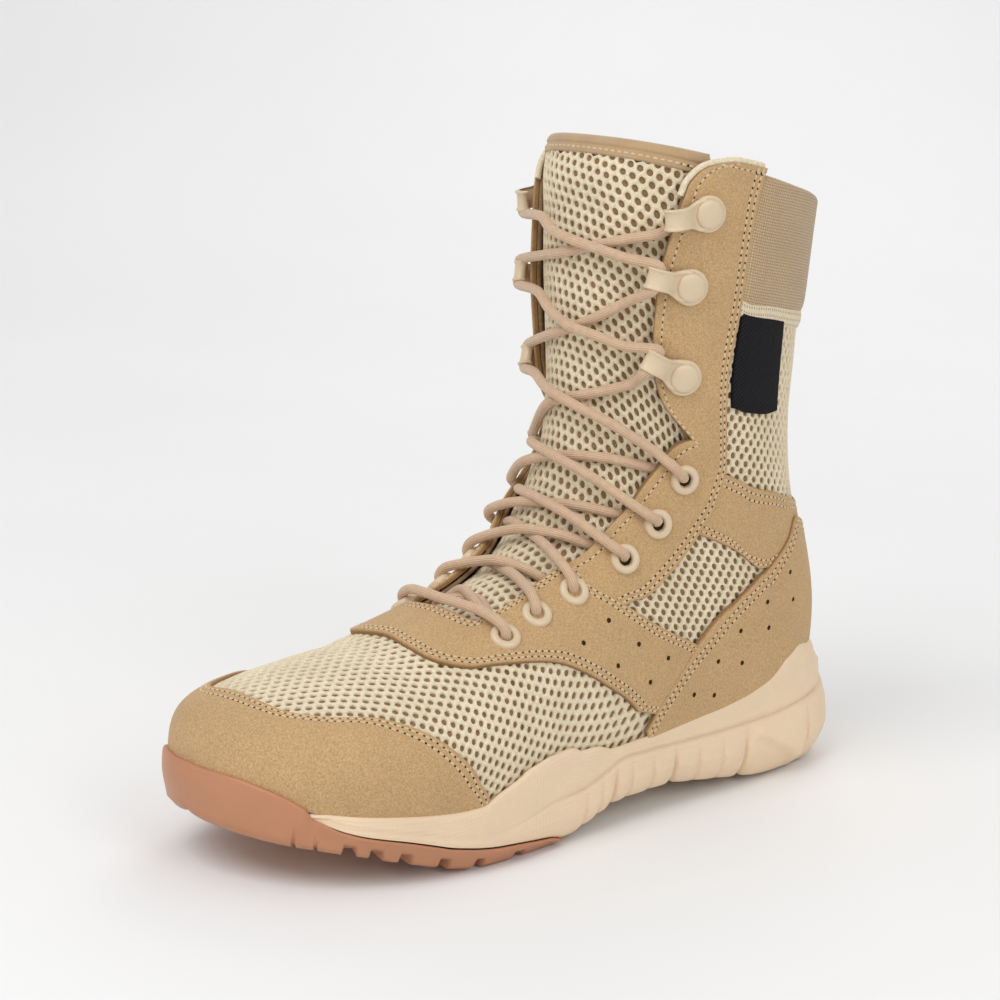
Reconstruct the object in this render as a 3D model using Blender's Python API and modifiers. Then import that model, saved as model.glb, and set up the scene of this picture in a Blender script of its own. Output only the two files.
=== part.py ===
"""Tactical boot for the left foot: every piece is its own closed solid, modelled at its real size.

The tables are in millimetres; meshes are made in metres. +Z is up, the toe points to -Y and the
lateral side, which faces away from the other foot, to +X. The origin is under the middle of the boot.

The skin of the last is one function of two numbers. "u" runs along the boot through the sections, from
the toe tip (0) over the instep (6) and the heel (9) to the collar (14). "w" runs round a section, from
the front ridge (0) down to the sole edge or the back seam (+1 lateral, -1 medial).
"""

import math

import bmesh
import bpy
import numpy as np
from mathutils import Matrix, Vector

MM = 0.001
GROUND = 4.0
MIDDLE = np.array([-0.67, 0.42, GROUND])
COLLECTION = "tactical_boot"

# Walls and clearances
WALL = 2.4
SUEDE = 1.2
COLLAR_PAD = 1.6
LABEL = 0.7
TONGUE_PAD = 4.0
INSOLE = 3.8
CLEAR = 0.65
TOE_CLEAR = 1.1
TONGUE_CLEAR = 1.6
HEEL_CLEAR = 1.25
SEAT_CLEAR = 1.3
GAP = 0.35
BUMPER = 3.4
GUM_STEP = 0.8
PLATE = 2.4
NOTCH_INSET = 1.5
INSOLE_INSET = 3.6
BINDING_PAD = 5.0
FITTING_LIFT = 2.5
WELD = 0.05
FINE_WELD = 0.01

# Sole edge of the last (feather line): lateral x, lateral y, medial x, medial y, height
FEATHER = np.array([
    (-13, -147, -13, -147, 34.0),
    (17, -139, -37, -135, 31.5),
    (38, -115, -47.5, -108, 27.5),
    (46, -84, -48.5, -80, 22.5),
    (47, -55, -46, -50, 19.5),
    (43, -18, -38, -15, 19.5),
    (38.5, 25, -32, 22, 22.0),
    (36.5, 65, -31.5, 62, 25.0),
    (34, 100, -32, 98, 27.5),
    (25, 126, -24, 126, 29.0),
    (0, 139, 0, 139, 30.0),
])

# Sections of the last: ridge x, y, z; row of FEATHER under it; back seam y, z (from the heel up);
# widest lateral x, widest medial x; how far down the widest point lies; fullness of the top
SECTIONS = np.array([
    (-13, -146, 47, 0, 0, 0, -13, -13, 0.80, 2.0),
    (-12, -138, 60.5, 1, 0, 0, 20.5, -40.5, 0.69, 2.3),
    (-9, -114, 68, 2, 0, 0, 41.5, -50.5, 0.70, 2.3),
    (-5, -82, 74, 3, 0, 0, 49.5, -51, 0.72, 2.2),
    (-2, -52, 82.5, 4, 0, 0, 50.5, -49, 0.745, 2.15),
    (0, -24, 94, 5, 0, 0, 46, -42, 0.76, 2.2),
    (0, -3, 108, 6, 0, 0, 41.5, -38, 0.72, 2.3),
    (0, 7, 125, 7.2, 0, 0, 40, -38.5, 0.62, 2.4),
    (0, 11, 144, 8.6, 0, 0, 40, -39.5, 0.54, 2.4),
    (0, 12, 163, 10, 139, 30, 40.5, -40.5, 0.48, 2.4),
    (0, 12, 185, 10, 139, 62, 41.5, -41.5, 0.46, 2.4),
    (0, 12, 208, 10, 122.5, 115, 43, -43, 0.46, 2.4),
    (0, 12, 230, 10, 121, 165, 44.5, -44.5, 0.46, 2.4),
    (0, 12, 245, 10, 124, 208, 46, -46, 0.46, 2.4),
    (0, 14, 257, 10, 126.5, 232, 46.5, -45.5, 0.46, 2.4),
])
HEEL_SECTION = 9
LOWER_FULLNESS = 2.1

# Edge of the throat, from the front of the opening up to the corner of the facing: u, w
THROAT = np.array([
    (4.20, 0.0), (4.24, 0.055), (4.32, 0.105), (4.60, 0.116), (4.95, 0.12), (5.35, 0.125),
    (5.70, 0.137), (6.05, 0.16), (6.40, 0.18), (7.00, 0.205), (7.50, 0.232), (8.10, 0.256),
    (8.60, 0.28), (9.00, 0.30), (9.35, 0.33), (9.62, 0.362), (9.70, 0.295), (9.95, 0.265),
    (10.4, 0.256), (11.2, 0.264), (11.7, 0.275), (12.3, 0.296), (12.9, 0.312), (13.3, 0.325),
    (13.75, 0.36), (14.0, 0.415), (14.08, 0.45),
])
VAMP_SECTIONS = (0, 0.1, 0.25, 0.45, 0.7, 1.0, 1.4, 1.9, 2.4, 2.9, 3.4, 3.85)
ANKLE_SECTIONS = (10.15, 10.65, 10.9, 11.45)
UPPER_ROWS = 8

# Panels, each a strip with one row for every rib across it: near u, near w, far u, far w
TOE_CAP = np.array([
    (0, 0, 1.45, 0),
    (0, 0.10, 1.48, 0.10),
    (0, 0.20, 1.60, 0.17),
    (0, 0.275, 1.92, 0.224),
    (0.50, 0.40, 2.36, 0.262),
    (1.00, 0.49, 2.64, 0.305),
    (1.30, 0.59, 2.90, 0.355),
    (1.62, 0.70, 3.16, 0.415),
    (2.30, 0.708, 3.42, 0.48),
    (3.00, 0.682, 3.58, 0.56),
    (3.45, 0.645, 3.64, 0.61),
])
SADDLE = np.array([
    (4.22, 0, 3.43, 0),
    (4.22, 0.055, 3.40, 0.068),
    (4.30, 0.107, 3.46, 0.144),
    (4.60, 0.117, 3.74, 0.204),
    (4.95, 0.121, 4.12, 0.236),
    (5.35, 0.126, 4.58, 0.276),
    (5.88, 0.15, 4.95, 0.315),
    (5.95, 0.224, 5.24, 0.36),
    (6.17, 0.288, 5.46, 0.40),
    (6.38, 0.348, 5.68, 0.436),
    (6.69, 0.428, 5.90, 0.475),
    (7.0, 0.487, 6.13, 0.535),
])
FACING = np.array([
    (5.98, 0.156, 6.47, 0.343),
    (6.40, 0.18, 6.78, 0.368),
    (7.00, 0.205, 7.40, 0.384),
    (7.50, 0.232, 7.90, 0.394),
    (8.10, 0.256, 8.40, 0.405),
    (8.60, 0.28, 8.80, 0.418),
    (9.00, 0.30, 9.20, 0.434),
    (9.35, 0.33, 9.50, 0.445),
    (9.62, 0.362, 9.70, 0.450),
    (9.70, 0.295, 9.80, 0.452),
    (9.95, 0.265, 10.0, 0.452),
    (10.4, 0.256, 10.5, 0.459),
    (11.2, 0.264, 11.2, 0.477),
    (11.7, 0.275, 11.7, 0.490),
    (12.3, 0.296, 12.3, 0.496),
    (12.9, 0.312, 12.9, 0.498),
    (13.3, 0.325, 13.4, 0.500),
    (13.75, 0.36, 13.8, 0.503),
    (14.02, 0.425, 14.04, 0.507),
])
ANKLE_BAND = np.array([
    (9.76, 0.460, 8.24, 0.410),
    (10.02, 0.50, 8.50, 0.449),
    (10.20, 0.545, 8.88, 0.50),
    (10.35, 0.59, 9.20, 0.555),
    (10.48, 0.64, 9.88, 0.606),
    (10.58, 0.69, 10.44, 0.684),
    (10.78, 0.80, 10.64, 0.798),
    (10.95, 0.90, 10.80, 0.90),
    (11.05, 1.0, 10.90, 1.0),
])
COUNTER = np.array([
    (6.10, 0.615, 6.08, 0.632),
    (6.36, 0.545, 6.22, 0.647),
    (6.74, 0.516, 6.50, 0.672),
    (7.14, 0.507, 6.94, 0.70),
    (7.84, 0.506, 7.40, 0.705),
    (8.80, 0.538, 7.80, 0.69),
    (9.28, 0.574, 8.15, 0.67),
    (9.84, 0.617, 8.55, 0.672),
    (10.22, 0.667, 8.90, 0.70),
    (10.40, 0.692, 9.15, 0.735),
    (10.60, 0.80, 9.45, 0.80),
    (10.76, 0.90, 9.70, 0.90),
    (10.86, 1.0, 9.85, 1.0),
])
COLLAR = np.array([
    (14.04, 0.516, 11.90, 0.50),
    (14.04, 0.60, 12.12, 0.58),
    (14.04, 0.70, 12.30, 0.69),
    (14.04, 0.80, 12.42, 0.80),
    (14.04, 0.90, 12.54, 0.90),
    (14.04, 1.0, 12.60, 1.0),
])
LABEL_PATCH = np.array([
    (11.76, 0.502, 10.64, 0.482),
    (11.87, 0.546, 10.83, 0.532),
    (11.98, 0.59, 11.02, 0.582),
    (12.06, 0.63, 11.20, 0.63),
])

# Tongue: u, half width in w, from its tail under the vamp to the top
TONGUE = np.array([
    (3.6, 0.17), (4.2, 0.19), (4.8, 0.21), (5.3, 0.23), (5.7, 0.24), (6.1, 0.255), (6.5, 0.27),
    (7.0, 0.285), (7.6, 0.31), (8.3, 0.33), (9.2, 0.35), (10.4, 0.36), (12.2, 0.36), (13.5, 0.36),
])
TONGUE_TOP = np.array([(13.55, 0.36), (13.85, 0.355), (14.08, 0.30)])
TONGUE_ACROSS = 6

# Rim of the midsole by section: u of the foot edge, u and w of the rim's top, thickness of the rim
SOLE_RIM = np.array([
    (0, 0, 0.60, 2.0), (0.2, 0.2, 0.62, 2.0), (0.45, 0.45, 0.64, 2.0), (0.75, 0.75, 0.66, 2.0),
    (1.0, 1.0, 0.69, 2.0), (1.3, 1.3, 0.735, 2.0), (1.46, 1.46, 0.765, 2.2),
    (1.54, 1.54, 0.76, 2.6), (1.62, 1.62, 0.742, 3.0), (2.0, 2.0, 0.742, 3.0),
    (2.5, 2.5, 0.725, 3.0), (3.1, 3.1, 0.705, 3.0), (3.55, 3.55, 0.668, 3.0), (3.75, 3.75, 0.59, 3.0),
    (4.15, 4.15, 0.497, 3.0), (4.5, 4.5, 0.487, 3.0), (4.76, 4.76, 0.488, 3.0),
    (4.9, 4.9, 0.49, 3.0), (5.3, 5.3, 0.53, 3.0),
    (5.5, 5.5, 0.60, 3.0), (6.0, 6.0, 0.65, 3.0), (6.4, 6.4, 0.68, 3.0), (6.95, 6.95, 0.715, 3.0),
    (7.3, 7.3, 0.72, 3.0), (7.7, 7.7, 0.712, 3.0), (8.0, 8.08, 0.69, 3.0), (8.3, 8.5, 0.688, 3.0),
    (8.6, 9.05, 0.735, 3.0), (8.8, 9.36, 0.808, 3.0), (8.92, 9.64, 0.9, 3.0), (9.0, 9.8, 1.0, 3.0),
])

# Side of the midsole by section: u, crease height, crease overhang, belly overhang, bottom height,
# bottom overhang, height of the middle of the underside
SOLE_SIDE = np.array([
    (0, 33.0, 2.2, 2.2, 31.5, 2.0, 30.0),
    (0.5, 32.0, 2.2, 2.2, 30.5, 2.0, 28.8),
    (1.0, 30.3, 2.3, 2.3, 28.6, 2.0, 27.2),
    (1.46, 28.5, 2.4, 2.4, 26.8, 2.0, 25.2),
    (1.62, 31.6, 4.3, 4.6, 29.8, 4.8, 24.7),
    (1.8, 29.5, 5.0, 5.2, 26.5, 5.4, 23.6),
    (2.05, 27.5, 5.4, 5.6, 24.0, 5.8, 22.0),
    (2.5, 24.5, 5.8, 6.0, 20.5, 6.2, 18.4),
    (3.05, 20.0, 6.0, 6.4, 15.3, 6.4, 13.4),
    (3.4, 18.0, 6.1, 6.5, 13.2, 6.4, 11.6),
    (3.7, 17.0, 6.2, 6.6, 11.8, 6.4, 11.0),
    (4.1, 19.0, 6.2, 6.6, 10.6, 6.2, 11.0),
    (4.6, 23.0, 6.4, 7.0, 8.4, 5.6, 11.0),
    (4.76, 23.2, 6.4, 7.1, 6.2, 5.0, 11.0),
    (5.0, 23.5, 6.4, 7.2, 7.0, 4.5, 11.5),
    (5.3, 27.0, 6.2, 7.4, 10.5, 4.5, 12.5),
    (5.55, 31.0, 6.0, 7.6, 13.0, 4.5, 13.5),
    (6.2, 30.0, 6.0, 8.0, 13.5, 5.0, 13.5),
    (6.8, 30.0, 6.4, 8.6, 9.5, 4.8, 9.5),
    (7.3, 31.0, 6.8, 9.2, 6.0, 4.2, 7.8),
    (7.8, 33.0, 7.2, 10.2, 5.0, 4.0, 7.6),
    (8.3, 36.0, 7.6, 11.6, 5.0, 4.6, 7.6),
    (8.6, 39.0, 8.0, 12.6, 5.2, 6.0, 7.6),
    (9.0, 41.0, 8.4, 13.4, 5.6, 7.0, 7.6),
])
CREASE_DEPTH = 1.2
CREASE_WIDTH = 1.8
UNDERSIDE_INSET = 9.0
UNDER_SHARE = 0.4
UNDER_FOOT = 3.5
SEAT_ROWS = 4
RIM_TUCK_W = 0.02
RIM_TURN_W = 0.05

# Upright grooves in the lower band of the midsole: u, depth
SIDE_GROOVES = np.array([
    (5.05, 1.2), (5.26, 1.2), (5.45, 2.4), (5.66, 1.2), (5.94, 1.2), (6.22, 2.4), (6.5, 1.2),
    (6.78, 1.2), (7.07, 2.4), (8.15, 1.8),
])
GROOVE_HALF_U = 0.05

# Forefoot outsole by section: u, w of the bumper's top, edge overhang, edge height, tread height
TREAD = np.array([
    (0, 0.30, 4.4, 29.0, 25.0),
    (0.5, 0.42, 4.6, 26.5, 23.5),
    (1.0, 0.515, 4.8, 23.8, 21.5),
    (1.3, 0.63, 5.0, 22.2, 20.2),
    (1.46, 0.72, 5.2, 21.3, 19.5),
    (1.62, 0.74, 5.4, 20.4, 18.7),
    (2.05, 0.74, 5.0, 17.4, 16.0),
    (2.5, 0.74, 4.4, 12.8, 11.8),
    (3.05, 0.74, 3.8, 7.8, 6.6),
    (3.4, 0.74, 3.5, 5.8, 4.5),
    (3.65, 0.74, 3.2, 5.0, 4.0),
    (4.2, 0.74, 3.0, 4.8, 4.0),
    (4.72, 0.74, 2.6, 4.6, 4.0),
])
BUMPER_END = 1.5
CREAM_START = 1.6
OUTSOLE_END = 4.72
LUG_NOTCHES = (1.92, 2.2, 2.52, 3.0, 3.52, 4.14)
NOTCH_HALF_U = 0.06
NOTCH_RAMP_U = 0.03
NOTCH_DEPTH = 3.6
LUG_LENGTH = 15.0
LUG_BEVEL = 2.4
BEVEL_SHARE = 0.4
CENTRE_LUG_HALF = 9.0
CENTRE_LUG_SHARE = 0.5
CENTRE_LUG_FOOT_SHARE = 0.6
LUG_DRAFT = 1.5

# Heel outsole: first and last section, notches, inset from the foot edge
HEEL_PAD_ENDS = (7.25, 8.7)
HEEL_PAD_STATIONS = 9
HEEL_PAD_DRAFT = 1.0
HEEL_PAD_NOTCHES = (7.5, 7.9, 8.3)
HEEL_PAD_INSET = 6.0
HEEL_PAD_NOTCH_DEPTH = 1.2
HEEL_PAD_DROP = 1.2

# Insole: its sections, closer together at the toe and the heel
INSOLE_SECTIONS = (
    0.1, 0.3, 0.55, 0.8, 1.0, 1.6, 2.4, 3.2, 4.0, 4.7, 5.4, 6.1, 6.9, 7.6, 8.0, 8.3, 8.55, 8.75, 8.93,
)

# Lacing hardware: u, w of each place
EYELETS = np.array([
    (4.42, 0.190), (4.98, 0.190), (5.66, 0.212), (6.74, 0.272), (7.66, 0.308), (8.86, 0.345),
])
HOOKS = np.array([(10.36, 0.336), (11.56, 0.348), (12.76, 0.376)])
MEDIAL_HOOKS = np.array([(10.2, 0.346), (11.38, 0.358), (12.58, 0.384)])
EYELET_OUTER = 5.4
EYELET_INNER = 2.5
EYELET_RISE = 1.1
TURNED_STEPS = 10
HOOK_PLATE_RADIUS = 6.5
HOOK_PLATE = 1.0
RIVET_RADIUS = 5.0
RIVET_RISE = 1.6
RIVET_SHOULDER = 0.75
RIVET_ROUND = 0.4
# Prong of a hook from its plate to the tip: towards the throat, height, half width
HOOK_PRONG = np.array([
    (1.0, 0.6, 4.0), (6.0, 0.6, 4.0), (9.5, 2.0, 4.0), (13.5, 2.8, 4.1), (16.4, 2.2, 4.1), (17.4, 0.6, 4.0),
])
PRONG_HALF = 0.6
HOOK_TURN = math.radians(20)

# Lace: each crossing's low end, over the facing, and high end, in the throat: u, w, lift
CROSSINGS = np.array([
    (4.56, 0.080, 0.8, 4.92, 0.080, 0.8),
    (5.02, 0.125, 5.0, 5.56, 0.085, 0.8),
    (5.74, 0.150, 5.0, 6.42, 0.125, 0.8),
    (6.80, 0.212, 5.0, 7.42, 0.180, 0.8),
    (7.72, 0.250, 5.0, 8.52, 0.228, 0.8),
    (8.92, 0.288, 5.0, 9.86, 0.200, 2.4),
    (10.42, 0.200, 2.4, 11.12, 0.205, 2.4),
    (11.62, 0.215, 2.4, 12.32, 0.235, 2.4),
])
BAR = (4.40, 0.135, 5.4)
LACE_RADIUS = 2.1
LACE_MIDDLE_LIFT = 1.0

# Colours from the photograph (linear), roughness, metallic
FINISHES = {
    "mesh": ((0.68, 0.58, 0.40), 0.85, 0.0),
    "suede": ((0.52, 0.34, 0.17), 0.9, 0.0),
    "nylon": ((0.40, 0.29, 0.19), 0.8, 0.0),
    "lining": ((0.30, 0.20, 0.12), 0.9, 0.0),
    "label": ((0.02, 0.02, 0.02), 0.7, 0.0),
    "foam": ((0.72, 0.56, 0.38), 0.6, 0.0),
    "gum": ((0.50, 0.24, 0.13), 0.5, 0.0),
    "lace": ((0.60, 0.42, 0.27), 0.8, 0.0),
    "painted_metal": ((0.76, 0.62, 0.42), 0.4, 0.0),
}


def curve(table, place, before=None, after=None):
    """Smooth curve through a table's rows, read at row numbers; it needs a row before and after."""
    first = 2 * table[0] - table[1] if before is None else before
    last = 2 * table[-1] - table[-2] if after is None else after
    rows = np.vstack([first, table, last, 2 * last - table[-1]])
    place = np.clip(np.asarray(place, float), 0, len(table))
    i = np.minimum(place.astype(int), len(table) - 1)
    t = (place - i)[..., None]
    a, b, c, d = rows[i], rows[i + 1], rows[i + 2], rows[i + 3]
    return b + t * (c - a) / 2 + t**2 * (a - 2.5 * b + 2 * c - d / 2) + t**3 * (1.5 * (b - c) + (d - a) / 2)


def by_section(table, u):
    """Row of a table whose first column is u, read between its rows; the u column is left out."""
    return np.array([np.interp(u, table[:, 0], column) for column in table[:, 1:].T])


def foot_edge(row):
    """Feather line at row numbers of FEATHER; it closes smoothly round the toe and the heel."""
    swap = [2, 3, 0, 1, 4]
    return curve(FEATHER, row, FEATHER[1][swap], FEATHER[-2][swap])


def section(u):
    swap = [0, 1, 2, 3, 4, 5, 7, 6, 8, 9]
    return curve(SECTIONS, u, SECTIONS[1][swap])


def skin(u, w):
    """Points of the last in millimetres."""
    u, w = np.broadcast_arrays(np.asarray(u, float), np.asarray(w, float))
    w = np.where(u < 0, -w, w)
    u = np.abs(u)
    lateral = w >= 0
    w = np.minimum(np.abs(w), 1)
    s = section(u)
    edge = foot_edge(np.clip(s[..., 3], 0, len(FEATHER) - 1))
    seam = curve(SECTIONS[HEEL_SECTION:, 4:6], np.maximum(u - HEEL_SECTION, 0))
    over_heel = u >= HEEL_SECTION
    base_x = np.where(over_heel, 0, np.where(lateral, edge[..., 0], edge[..., 2]))
    base_y = np.where(over_heel, seam[..., 0], np.where(lateral, edge[..., 1], edge[..., 3]))
    base_z = np.where(over_heel, seam[..., 1], edge[..., 4])
    widest = np.where(lateral, s[..., 6], s[..., 7])
    above = np.minimum(w, 0.5) * math.pi
    below = np.maximum(w - 0.5, 0) * math.pi
    top_power = 2 / s[..., 9]
    low_power = 2 / LOWER_FULLNESS
    down = s[..., 8] * (1 - np.cos(above).clip(0) ** top_power)
    down = np.where(w <= 0.5, down, s[..., 8] + (1 - s[..., 8]) * np.sin(below) ** low_power)
    out = s[..., 0] + (widest - s[..., 0]) * np.sin(above) ** top_power
    out = np.where(w <= 0.5, out, base_x + (widest - base_x) * np.cos(below).clip(0) ** low_power)
    y = s[..., 1] + down * (base_y - s[..., 1])
    z = s[..., 2] + down * (base_z - s[..., 2])
    return np.stack([out, y, z], axis=-1)


def skin_axes(u, w):
    """Unit vectors on the skin: outward, and round the section towards larger w."""
    step_u, step_w = 0.02, 0.01
    u = np.where(np.abs(w) < step_w, np.maximum(u, step_u), u)
    along = skin(u + step_u, w) - skin(u - step_u, w)
    around = skin(u, np.minimum(w + step_w, 1)) - skin(u, np.maximum(w - step_w, -1))
    outward = np.cross(around, along)
    outward /= np.linalg.norm(outward, axis=-1, keepdims=True)
    around /= np.linalg.norm(around, axis=-1, keepdims=True)
    return outward, around


def lifted(u, w, lift):
    u, w = np.broadcast_arrays(np.asarray(u, float), np.asarray(w, float))
    return skin(u, w) + skin_axes(u, w)[0] * np.asarray(lift)[..., None]


def metres(point):
    """A table's millimetres as metres from the middle of the finished boot."""
    return Vector((np.asarray(point) - MIDDLE) * MM)


def finish(name):
    material = bpy.data.materials.get(name)
    if material is None:
        material = bpy.data.materials.new(name)
        material.use_nodes = True
        colour, roughness, metallic = FINISHES[name]
        shader = material.node_tree.nodes["Principled BSDF"]
        shader.inputs["Base Color"].default_value = (*colour, 1)
        shader.inputs["Roughness"].default_value = roughness
        shader.inputs["Metallic"].default_value = metallic
        material.diffuse_color = (*colour, 1)
    return material


def add_piece(name, mesh, material):
    piece = bpy.data.objects.new(name, mesh)
    if not mesh.materials:
        mesh.materials.append(finish(material))
    bpy.data.collections[COLLECTION].objects.link(piece)
    return piece


def add_shell(name, grids, material, thickness, outward):
    """A shell from grids of places on the skin, (u, w, lift): joined at its seams, then thickened."""
    bm = bmesh.new()
    for u, w, lift in grids:
        points = lifted(u, w, lift)
        rows, columns = points.shape[:2]
        made = bmesh.ops.create_grid(bm, x_segments=columns - 1, y_segments=rows - 1, size=1)["verts"]
        for vertex, point in zip(made, points.reshape(-1, 3)):
            vertex.co = metres(point)
        i, j = rows // 2, columns // 2
        facing = np.cross(points[i, j] - points[i, j - 1], points[i, j] - points[i - 1, j])
        if np.dot(facing, skin_axes(u[i, j], w[i, j])[0]) < 0:
            bmesh.ops.reverse_faces(bm, faces=list({face for vertex in made for face in vertex.link_faces}))
    bmesh.ops.remove_doubles(bm, verts=bm.verts, dist=WELD * MM)
    mesh = bpy.data.meshes.new(name)
    bm.to_mesh(mesh)
    bm.free()
    piece = add_piece(name, mesh, material)
    solidify = piece.modifiers.new("wall", "SOLIDIFY")
    solidify.thickness = thickness * MM
    solidify.offset = 1 if outward else -1
    return piece


def add_loft(name, rings, material):
    """A solid lofted through rings of points; rings that shrink to a line close by themselves."""
    bm = bmesh.new()
    loops = [[bm.verts.new(metres(point)) for point in ring] for ring in rings]
    count = len(loops[0])
    for near, far in zip(loops, loops[1:]):
        for i in range(count):
            j = (i + 1) % count
            bm.faces.new((near[i], near[j], far[j], far[i]))
    bmesh.ops.remove_doubles(bm, verts=bm.verts, dist=WELD * MM)
    bmesh.ops.holes_fill(bm, edges=[edge for edge in bm.edges if edge.is_boundary])
    bmesh.ops.triangulate(bm, faces=bm.faces)
    bmesh.ops.recalc_face_normals(bm, faces=bm.faces)
    mesh = bpy.data.meshes.new(name)
    bm.to_mesh(mesh)
    bm.free()
    return add_piece(name, mesh, material)


def medial(rows):
    return rows * (1, -1, 1, -1)


def finer_rows(table):
    """A panel's table with one row more between each two, on a smooth curve."""
    rows = curve(table, np.arange(0, len(table) - 0.75, 0.5))
    rows[:, [0, 2]] = rows[:, [0, 2]].clip(0)
    rows[:, [1, 3]] = rows[:, [1, 3]].clip(0, 1)
    return rows


def over_ridge(rows):
    return np.vstack([medial(rows)[:0:-1], rows])


def round_heel(rows):
    return np.vstack([rows, medial(rows)[-2::-1]])


def add_panel(name, rows, material, thickness, across, clear=CLEAR):
    """A panel on the upper: each row is a rib from its near to its far end."""
    share = np.linspace(0, 1, across + 1)
    u = rows[:, :1] + share * (rows[:, 2:3] - rows[:, :1])
    w = rows[:, 1:2] + share * (rows[:, 3:] - rows[:, 1:2])
    add_shell(name, [(u, w, clear)], material, thickness, outward=True)


def add_upper():
    columns = np.sort(np.concatenate([VAMP_SECTIONS, THROAT[:, 0], ANKLE_SECTIONS]))
    edge = np.interp(columns, THROAT[:, 0], THROAT[:, 1])
    share = np.linspace(0, 1, UPPER_ROWS + 1)
    w = edge[:, None] + share * (1 - edge[:, None])
    u = np.broadcast_to(columns[:, None], w.shape)
    add_shell("upper", [(u, w, 0.0), (u, -w, 0.0)], "mesh", WALL, outward=False)


def add_tongue():
    share = np.linspace(-1, 1, TONGUE_ACROSS + 1)
    for name, table, pad in (("tongue", TONGUE, TONGUE_PAD), ("tongue_binding", TONGUE_TOP, BINDING_PAD)):
        w = table[:, 1:] * share
        u = np.broadcast_to(table[:, :1], w.shape)
        add_shell(name, [(u, w, -WALL - TONGUE_CLEAR)], "mesh", pad, outward=False)


def add_panels():
    add_panel("toe_cap", over_ridge(finer_rows(TOE_CAP)), "suede", SUEDE, across=5, clear=TOE_CLEAR)
    add_panel("vamp_saddle", over_ridge(SADDLE), "suede", SUEDE, across=3)
    add_panel("facing_lateral", FACING, "suede", SUEDE, across=3)
    add_panel("facing_medial", medial(FACING), "suede", SUEDE, across=3)
    add_panel("ankle_band", round_heel(ANKLE_BAND), "suede", SUEDE, across=2, clear=HEEL_CLEAR)
    add_panel("heel_counter", round_heel(COUNTER), "suede", SUEDE, across=3, clear=HEEL_CLEAR)
    add_panel("collar", round_heel(COLLAR), "nylon", COLLAR_PAD, across=3, clear=HEEL_CLEAR)
    add_panel("label", LABEL_PATCH, "label", LABEL, across=3)


def edge_row(u):
    return np.clip(section(u)[..., 3], 0, len(FEATHER) - 1)


def edge_point(u, side, overhang, height):
    """A point of the sole: so far outside the foot edge at section u, at this height."""
    row = edge_row(u)
    columns = slice(0, 2) if side > 0 else slice(2, 4)
    place = foot_edge(row)[columns]
    heading = foot_edge(row + 0.01)[columns] - foot_edge(max(row - 0.01, 0))[columns]
    out = np.array([heading[1], -heading[0]]) * side / np.linalg.norm(heading)
    return np.array([*(place + out * overhang), height])


def sole_row(u):
    """Midsole side at section u, as a dictionary of its named columns."""
    names = ("crease_z", "crease", "belly", "bottom_z", "bottom", "middle_z")
    row = dict(zip(names, by_section(SOLE_SIDE, u)))
    row["under"] = row["bottom"] * UNDER_SHARE
    row["under_z"] = min(row["bottom_z"], foot_edge(edge_row(u))[4] - UNDER_FOOT)
    return row


def groove_depth(u):
    nearness = 1 - np.abs(SIDE_GROOVES[:, 0] - u) / GROOVE_HALF_U
    return float(np.max(SIDE_GROOVES[:, 1] * nearness.clip(0)))


def midsole_half(u, side):
    """One side of a midsole section: the seat of the upper from the middle out, then the outer side."""
    rim_u, rim_w, rim = by_section(SOLE_RIM, u)
    row = sole_row(u)
    share = np.linspace(1, 0, SEAT_ROWS)
    clear = np.where(share > 0, SEAT_CLEAR, CLEAR)
    seat = lifted(rim_u + share * (u - rim_u), side * (rim_w + share * (1 - rim_w)), clear)
    groove = groove_depth(u)
    band_top = row["crease_z"] - CREASE_WIDTH
    outer = [
        lifted(rim_u, side * rim_w, rim),
        edge_point(u, side, row["crease"], row["crease_z"]),
        edge_point(u, side, row["crease"] - CREASE_DEPTH, row["crease_z"] - CREASE_WIDTH / 2),
        edge_point(u, side, row["crease"] + (row["belly"] - row["crease"]) / 3, band_top),
        edge_point(u, side, row["belly"] - groove, (band_top + row["bottom_z"]) / 2),
        edge_point(u, side, row["bottom"] - groove, row["bottom_z"]),
        edge_point(u, side, row["under"], row["under_z"]),
        edge_point(u, side, -UNDERSIDE_INSET, row["middle_z"]),
    ]
    return list(seat) + outer


def add_midsole():
    grooves = [SIDE_GROOVES[:, 0] + step for step in (-GROOVE_HALF_U, 0, GROOVE_HALF_U)]
    stations = np.unique(np.concatenate([SOLE_RIM[:, 0], *grooves]).round(3))
    rings = [midsole_half(u, 1) + midsole_half(u, -1)[::-1] for u in stations]
    add_loft("midsole", rings, "foam")


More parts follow.
